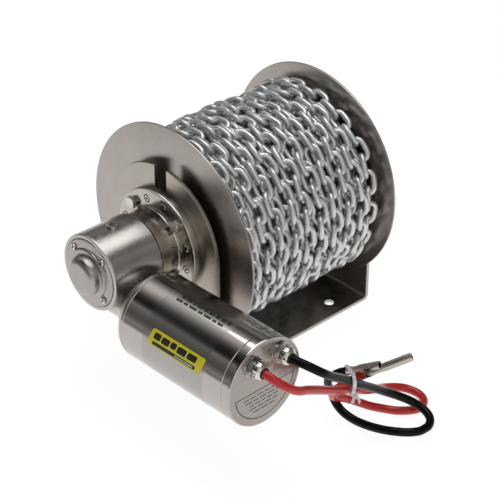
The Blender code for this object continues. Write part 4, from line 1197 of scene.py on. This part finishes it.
# plain blocks stand where lettering would be
for k, (y0, wide, a0, a1) in enumerate(((-113.5, 9.5, 21.0, 29.4), (-124.6, 11.0, 20.6, 29.0), (-137.4, 8.0, 21.6, 29.6),
                                        (-147.2, 12.5, 20.8, 29.2), (-161.6, 13.0, 21.2, 29.4))):
    curved_panel("label_block_%d" % (k + 1), y0, y0 - wide, a0, a1, "label_black", 0.24, 0.05,
                 corner=1.0, skew=-1.4)
curved_panel("label_band_low", -113.0, -175.0, 13.4, 18.0, "label_black", 0.24, 0.05, corner=0.5,
             skew=-0.8)
curved_panel("label_band_tick", -146, -171.5, 14.8, 16.4, "label_pale", 0.28, 0.04, skew=-0.3)
k = 0
for y0, wide in ((-112.5, 5.4), (-119.4, 7.2), (-128.3, 4.6), (-134.8, 8.0), (-144.6, 5.0), (-151.4, 7.6), (-161.0, 5.6),
                 (-168.6, 6.2), (-176.8, 5.2)):
    k += 1
    curved_panel("print_block_%d" % k, y0, y0 - wide, 81.6, 87.6, "label_black", 0.24, 0.20, skew=0.9)
for k, (y0, wide) in enumerate(((-110.5, 8.4), (-121.2, 5.2), (-129.0, 10.4), (-141.8, 6.0), (-150.2, 9.6),
                                (-162.4, 4.8), (-169.6, 7.2))):
    curved_panel("print_dash_%d" % (k + 1), y0, y0 - wide, 75.2, 78.4, "label_black", 0.24, 0.20,
                 skew=0.5)


def face_dashes():
    """Rows of plain dashes inside the engraved outline."""
    bm = bmesh.new()
    for row, (dz, cells) in enumerate(((-10.5, 6), (-15.0, 5), (-19.5, 6), (-24.0, 4), (-28.5, 3))):
        half = math.sqrt(34.5 ** 2 - dz ** 2) - 3.0
        x = -half * (0.92 if row != 2 else 0.8)
        for k in range(cells):
            wide = (2 * half / cells) * (0.62 + 0.22 * ((k * 7 + row * 3) % 5) / 4)
            if x + wide > half:
                break
            m = Matrix.Translation((MOTOR_X + x + wide / 2, MOTOR_Y3 - 0.02, MOTOR_Z + dz))
            got = bmesh.ops.create_cube(bm, size=1.0, matrix=m @ Matrix.Diagonal((wide, 0.16, 1.15, 1)))
            x += wide + 1.9
    finish_mesh("face_dashes", bm, "dash", "frame")


face_dashes()


# ---------------------------------------------------------------- glands
def hex_shape(r, spin):
    k = math.radians(60)
    flat = r * math.cos(k / 2)

    def shape(th, a, q):
        if q < flat * 0.93:
            return q
        local = ((th + spin) % k) - k / 2
        return min(q, flat / math.cos(local))
    return shape


for colour, s in (("red", -1), ("black", 1)):
    at = (MOTOR_X + s * GLAND_DX, 0, GLAND_Z)
    f = MOTOR_Y3
    lathe("gland_locknut_" + colour, [(f - 0.1, 5.2), (f - 0.1, 10.6), (f - 0.6, 11.2), (f - 2.6, 11.2), (f - 3.1, 10.6),
                                      (f - 3.1, 5.2)], "nickel", "frame", "Y", at, 96, angle=26,
          shape=hex_shape(11.2, 0.3 + 0.2 * s), bevel=0.1)
    lathe("gland_hex_" + colour, [(f - 3.1, 5.0), (f - 3.1, 7.4), (f - 3.9, 7.4), (f - 3.9, 9.7), (f - 4.4, 10.6),
                                  (f - 8.4, 10.6), (f - 8.9, 9.7), (f - 8.9, 5.0)], "nickel", "frame", "Y", at,
          96, ("gland_body_" + colour,), angle=26, shape=hex_shape(10.6, 0.75 + 0.3 * s), bevel=0.1)

    def fluted(th, a, q, f=f):
        if q < 5.6:
            return q
        return q * (1 + 0.035 * math.cos(12 * th) * max(0.0, min(1.0, (a - (f - 15.6)) / 1.5)))

    prof = [(f - 9.2, 5.0), (f - 9.2, 7.6), (f - 9.7, 8.9), (f - 13.4, 9.0), (f - 14.6, 8.6), (f - 15.7, 7.8),
            (f - 16.7, 6.9), (f - 17.3, 6.2), (f - 17.4, 5.9), (f - 17.0, 5.0)]
    lathe("gland_dome_" + colour, prof, "nickel", "frame", "Y", at, 96, ("gland_nut_" + colour,), angle=40,
          shape=fluted)
    lathe("gland_seal_" + colour, [(f - 15.5, 4.55), (f - 15.5, 5.3), (f - 17.9, 5.9), (f - 19.0, 5.6), (f - 19.2, 4.55)],
          "rubber", "frame", "Y", at, 48, angle=40)


# ---------------------------------------------------------------- far bearing
def make_far():
    x = FRAME_X + GAP
    lathe("far_bearing_cap", [(x, 12.3), (x, 31.2), (x + 0.8, 32), (x + 4.6, 32), (x + 5.8, 31), (x + 6, 29.5),
                              (x + 6, 19.5), (x + 7, 18.4), (x + 12.6, 17.6), (x + 14, 16.4), (x + 14.5, 14.5),
                              (x + 14.5, 0), (x + 12, 0), (x + 12, 12.3)], "housing", "frame", steps=128,
          stands_for=("far_bearing_housing",), bevel=0.2, angle=26)
    for k, s in ((1, -1), (2, 1)):
        def shape(th, a, q):
            if q < 5.0:
                return q
            kk = math.radians(60)
            return min(q, 5.6 * math.cos(kk / 2) / math.cos(((th + 0.2 * k) % kk) - kk / 2))
        h = x + 6.15
        lathe("far_hex_%d" % k, [(h, 0), (h, 5.6), (h + 3.2, 5.6), (h + 4.1, 5.0), (h + 4.5, 4.4), (h + 4.5, 0)],
              "bright", "frame", at=(0, s * 24, AXIS_Z), steps=60, stands_for=("far_bolt_%d" % k,),
              angle=25, shape=shape)


make_far()


# ---------------------------------------------------------------- stage and light
def make_stage():
    bm = bmesh.new()
    bmesh.ops.create_grid(bm, x_segments=2, y_segments=2, size=9000)
    for v in bm.verts:
        v.co.z = -0.15
        v.co *= MM
    mesh = bpy.data.meshes.new("floor")
    bm.to_mesh(mesh)
    bm.free()
    floor = bpy.data.objects.new("floor", mesh)
    bpy.context.scene.collection.objects.link(floor)
    t = Tree("floor_paper")
    x, y, z = t.coords()
    n = t.noise(t.vector(x, y, z), 0.02, 2.0)
    # a lit table: bright round the object, dimmer off to its sides
    side = t.math("ABSOLUTE", t.math("SUBTRACT", t.math("MULTIPLY", y, 0.692), t.math("MULTIPLY", x, 0.722)))
    glow = t.remap(side, 700.0, 1100.0, 0.93, 0.25)
    t.set(Base_Color=t.mix(n, (0.14, 0.14, 0.14), (0.15, 0.15, 0.15)), Roughness=0.9,
          Emission_Color=(1.0, 1.0, 1.0), Emission_Strength=glow)
    mesh.materials.append(t.mat)


def area(name, at, aim, size, radiance, colour=(1, 1, 1), size_y=None, turn=0.0):
    d = bpy.data.lights.new(name, "AREA")
    d.shape = "RECTANGLE"
    d.size, d.size_y = size, size_y or size
    d.energy = radiance * math.pi * d.size * d.size_y
    d.color = colour
    o = bpy.data.objects.new(name, d)
    o.location = at
    q = (Vector(aim) - Vector(at)).to_track_quat("-Z", "Y")
    o.rotation_euler = (q @ Euler((0, 0, math.radians(turn))).to_quaternion()).to_euler()
    bpy.context.scene.collection.objects.link(o)


def make_world():
    world = bpy.data.worlds.new("studio")
    bpy.context.scene.world = world
    world.use_nodes = True
    nt = world.node_tree
    bg = nt.nodes["Background"]
    tc = nt.nodes.new("ShaderNodeTexCoord")

    def dot(v):
        n = nt.nodes.new("ShaderNodeVectorMath")
        n.operation = "DOT_PRODUCT"
        nt.links.new(tc.outputs["Generated"], n.inputs[0])
        n.inputs[1].default_value = v
        return n.outputs["Value"]

    def calc(op, a, b, c=None):
        n = nt.nodes.new("ShaderNodeMath")
        n.operation = op
        for i, v in enumerate((a, b) if c is None else (a, b, c)):
            if isinstance(v, bpy.types.NodeSocket):
                nt.links.new(v, n.inputs[i])
            else:
                n.inputs[i].default_value = v
        return n.outputs[0]

    def ramp(v, stops):
        n = nt.nodes.new("ShaderNodeValToRGB")
        nt.links.new(v, n.inputs[0])
        e = n.color_ramp.elements
        e[0].position, e[0].color = stops[0][0], (stops[0][1],) * 3 + (1,)
        e[1].position, e[1].color = stops[-1][0], (stops[-1][1],) * 3 + (1,)
        for p, c in stops[1:-1]:
            e.new(p).color = (c, c, c, 1)
        return n.outputs[0]

    # by height: pale horizon, dim walls with one paler strip, dark ceiling edge
    walls = ramp(dot((0, 0, 1)), [(0.0, 0.42), (0.10, 0.26), (0.22, 0.13), (0.33, 0.15), (0.44, 0.20), (0.53, 0.30),
                                  (0.58, 0.10), (0.63, 0.02), (1.0, 0.03)])
    # a wide soft wall of light in front, to the right of the lens
    front = calc("MAXIMUM", dot((-0.30, -0.76, 0.57)), 0.0)
    front = calc("MULTIPLY", calc("POWER", front, 5.0), FRONT)
    # a second, smaller panel high up beyond the drum
    back = calc("MAXIMUM", dot((0.130, 0.669, 0.731)), 0.0)
    back = calc("MULTIPLY", calc("POWER", back, 34.0), BACK)
    total = calc("ADD", calc("ADD", walls, front), back)
    nt.links.new(total, bg.inputs[1])
    bg.inputs[0].default_value = (1.0, 0.985, 0.965, 1)


FRONT, BACK = 0.75, 0.95


def make_light():
    make_stage()
    area("top_softbox", (0.205, -0.003, 1.35), (0.205, -0.003, 0), 1.25, 2.1, size_y=1.1, turn=-43.8)
    make_world()


make_light()

bpy.context.view_layer.update()
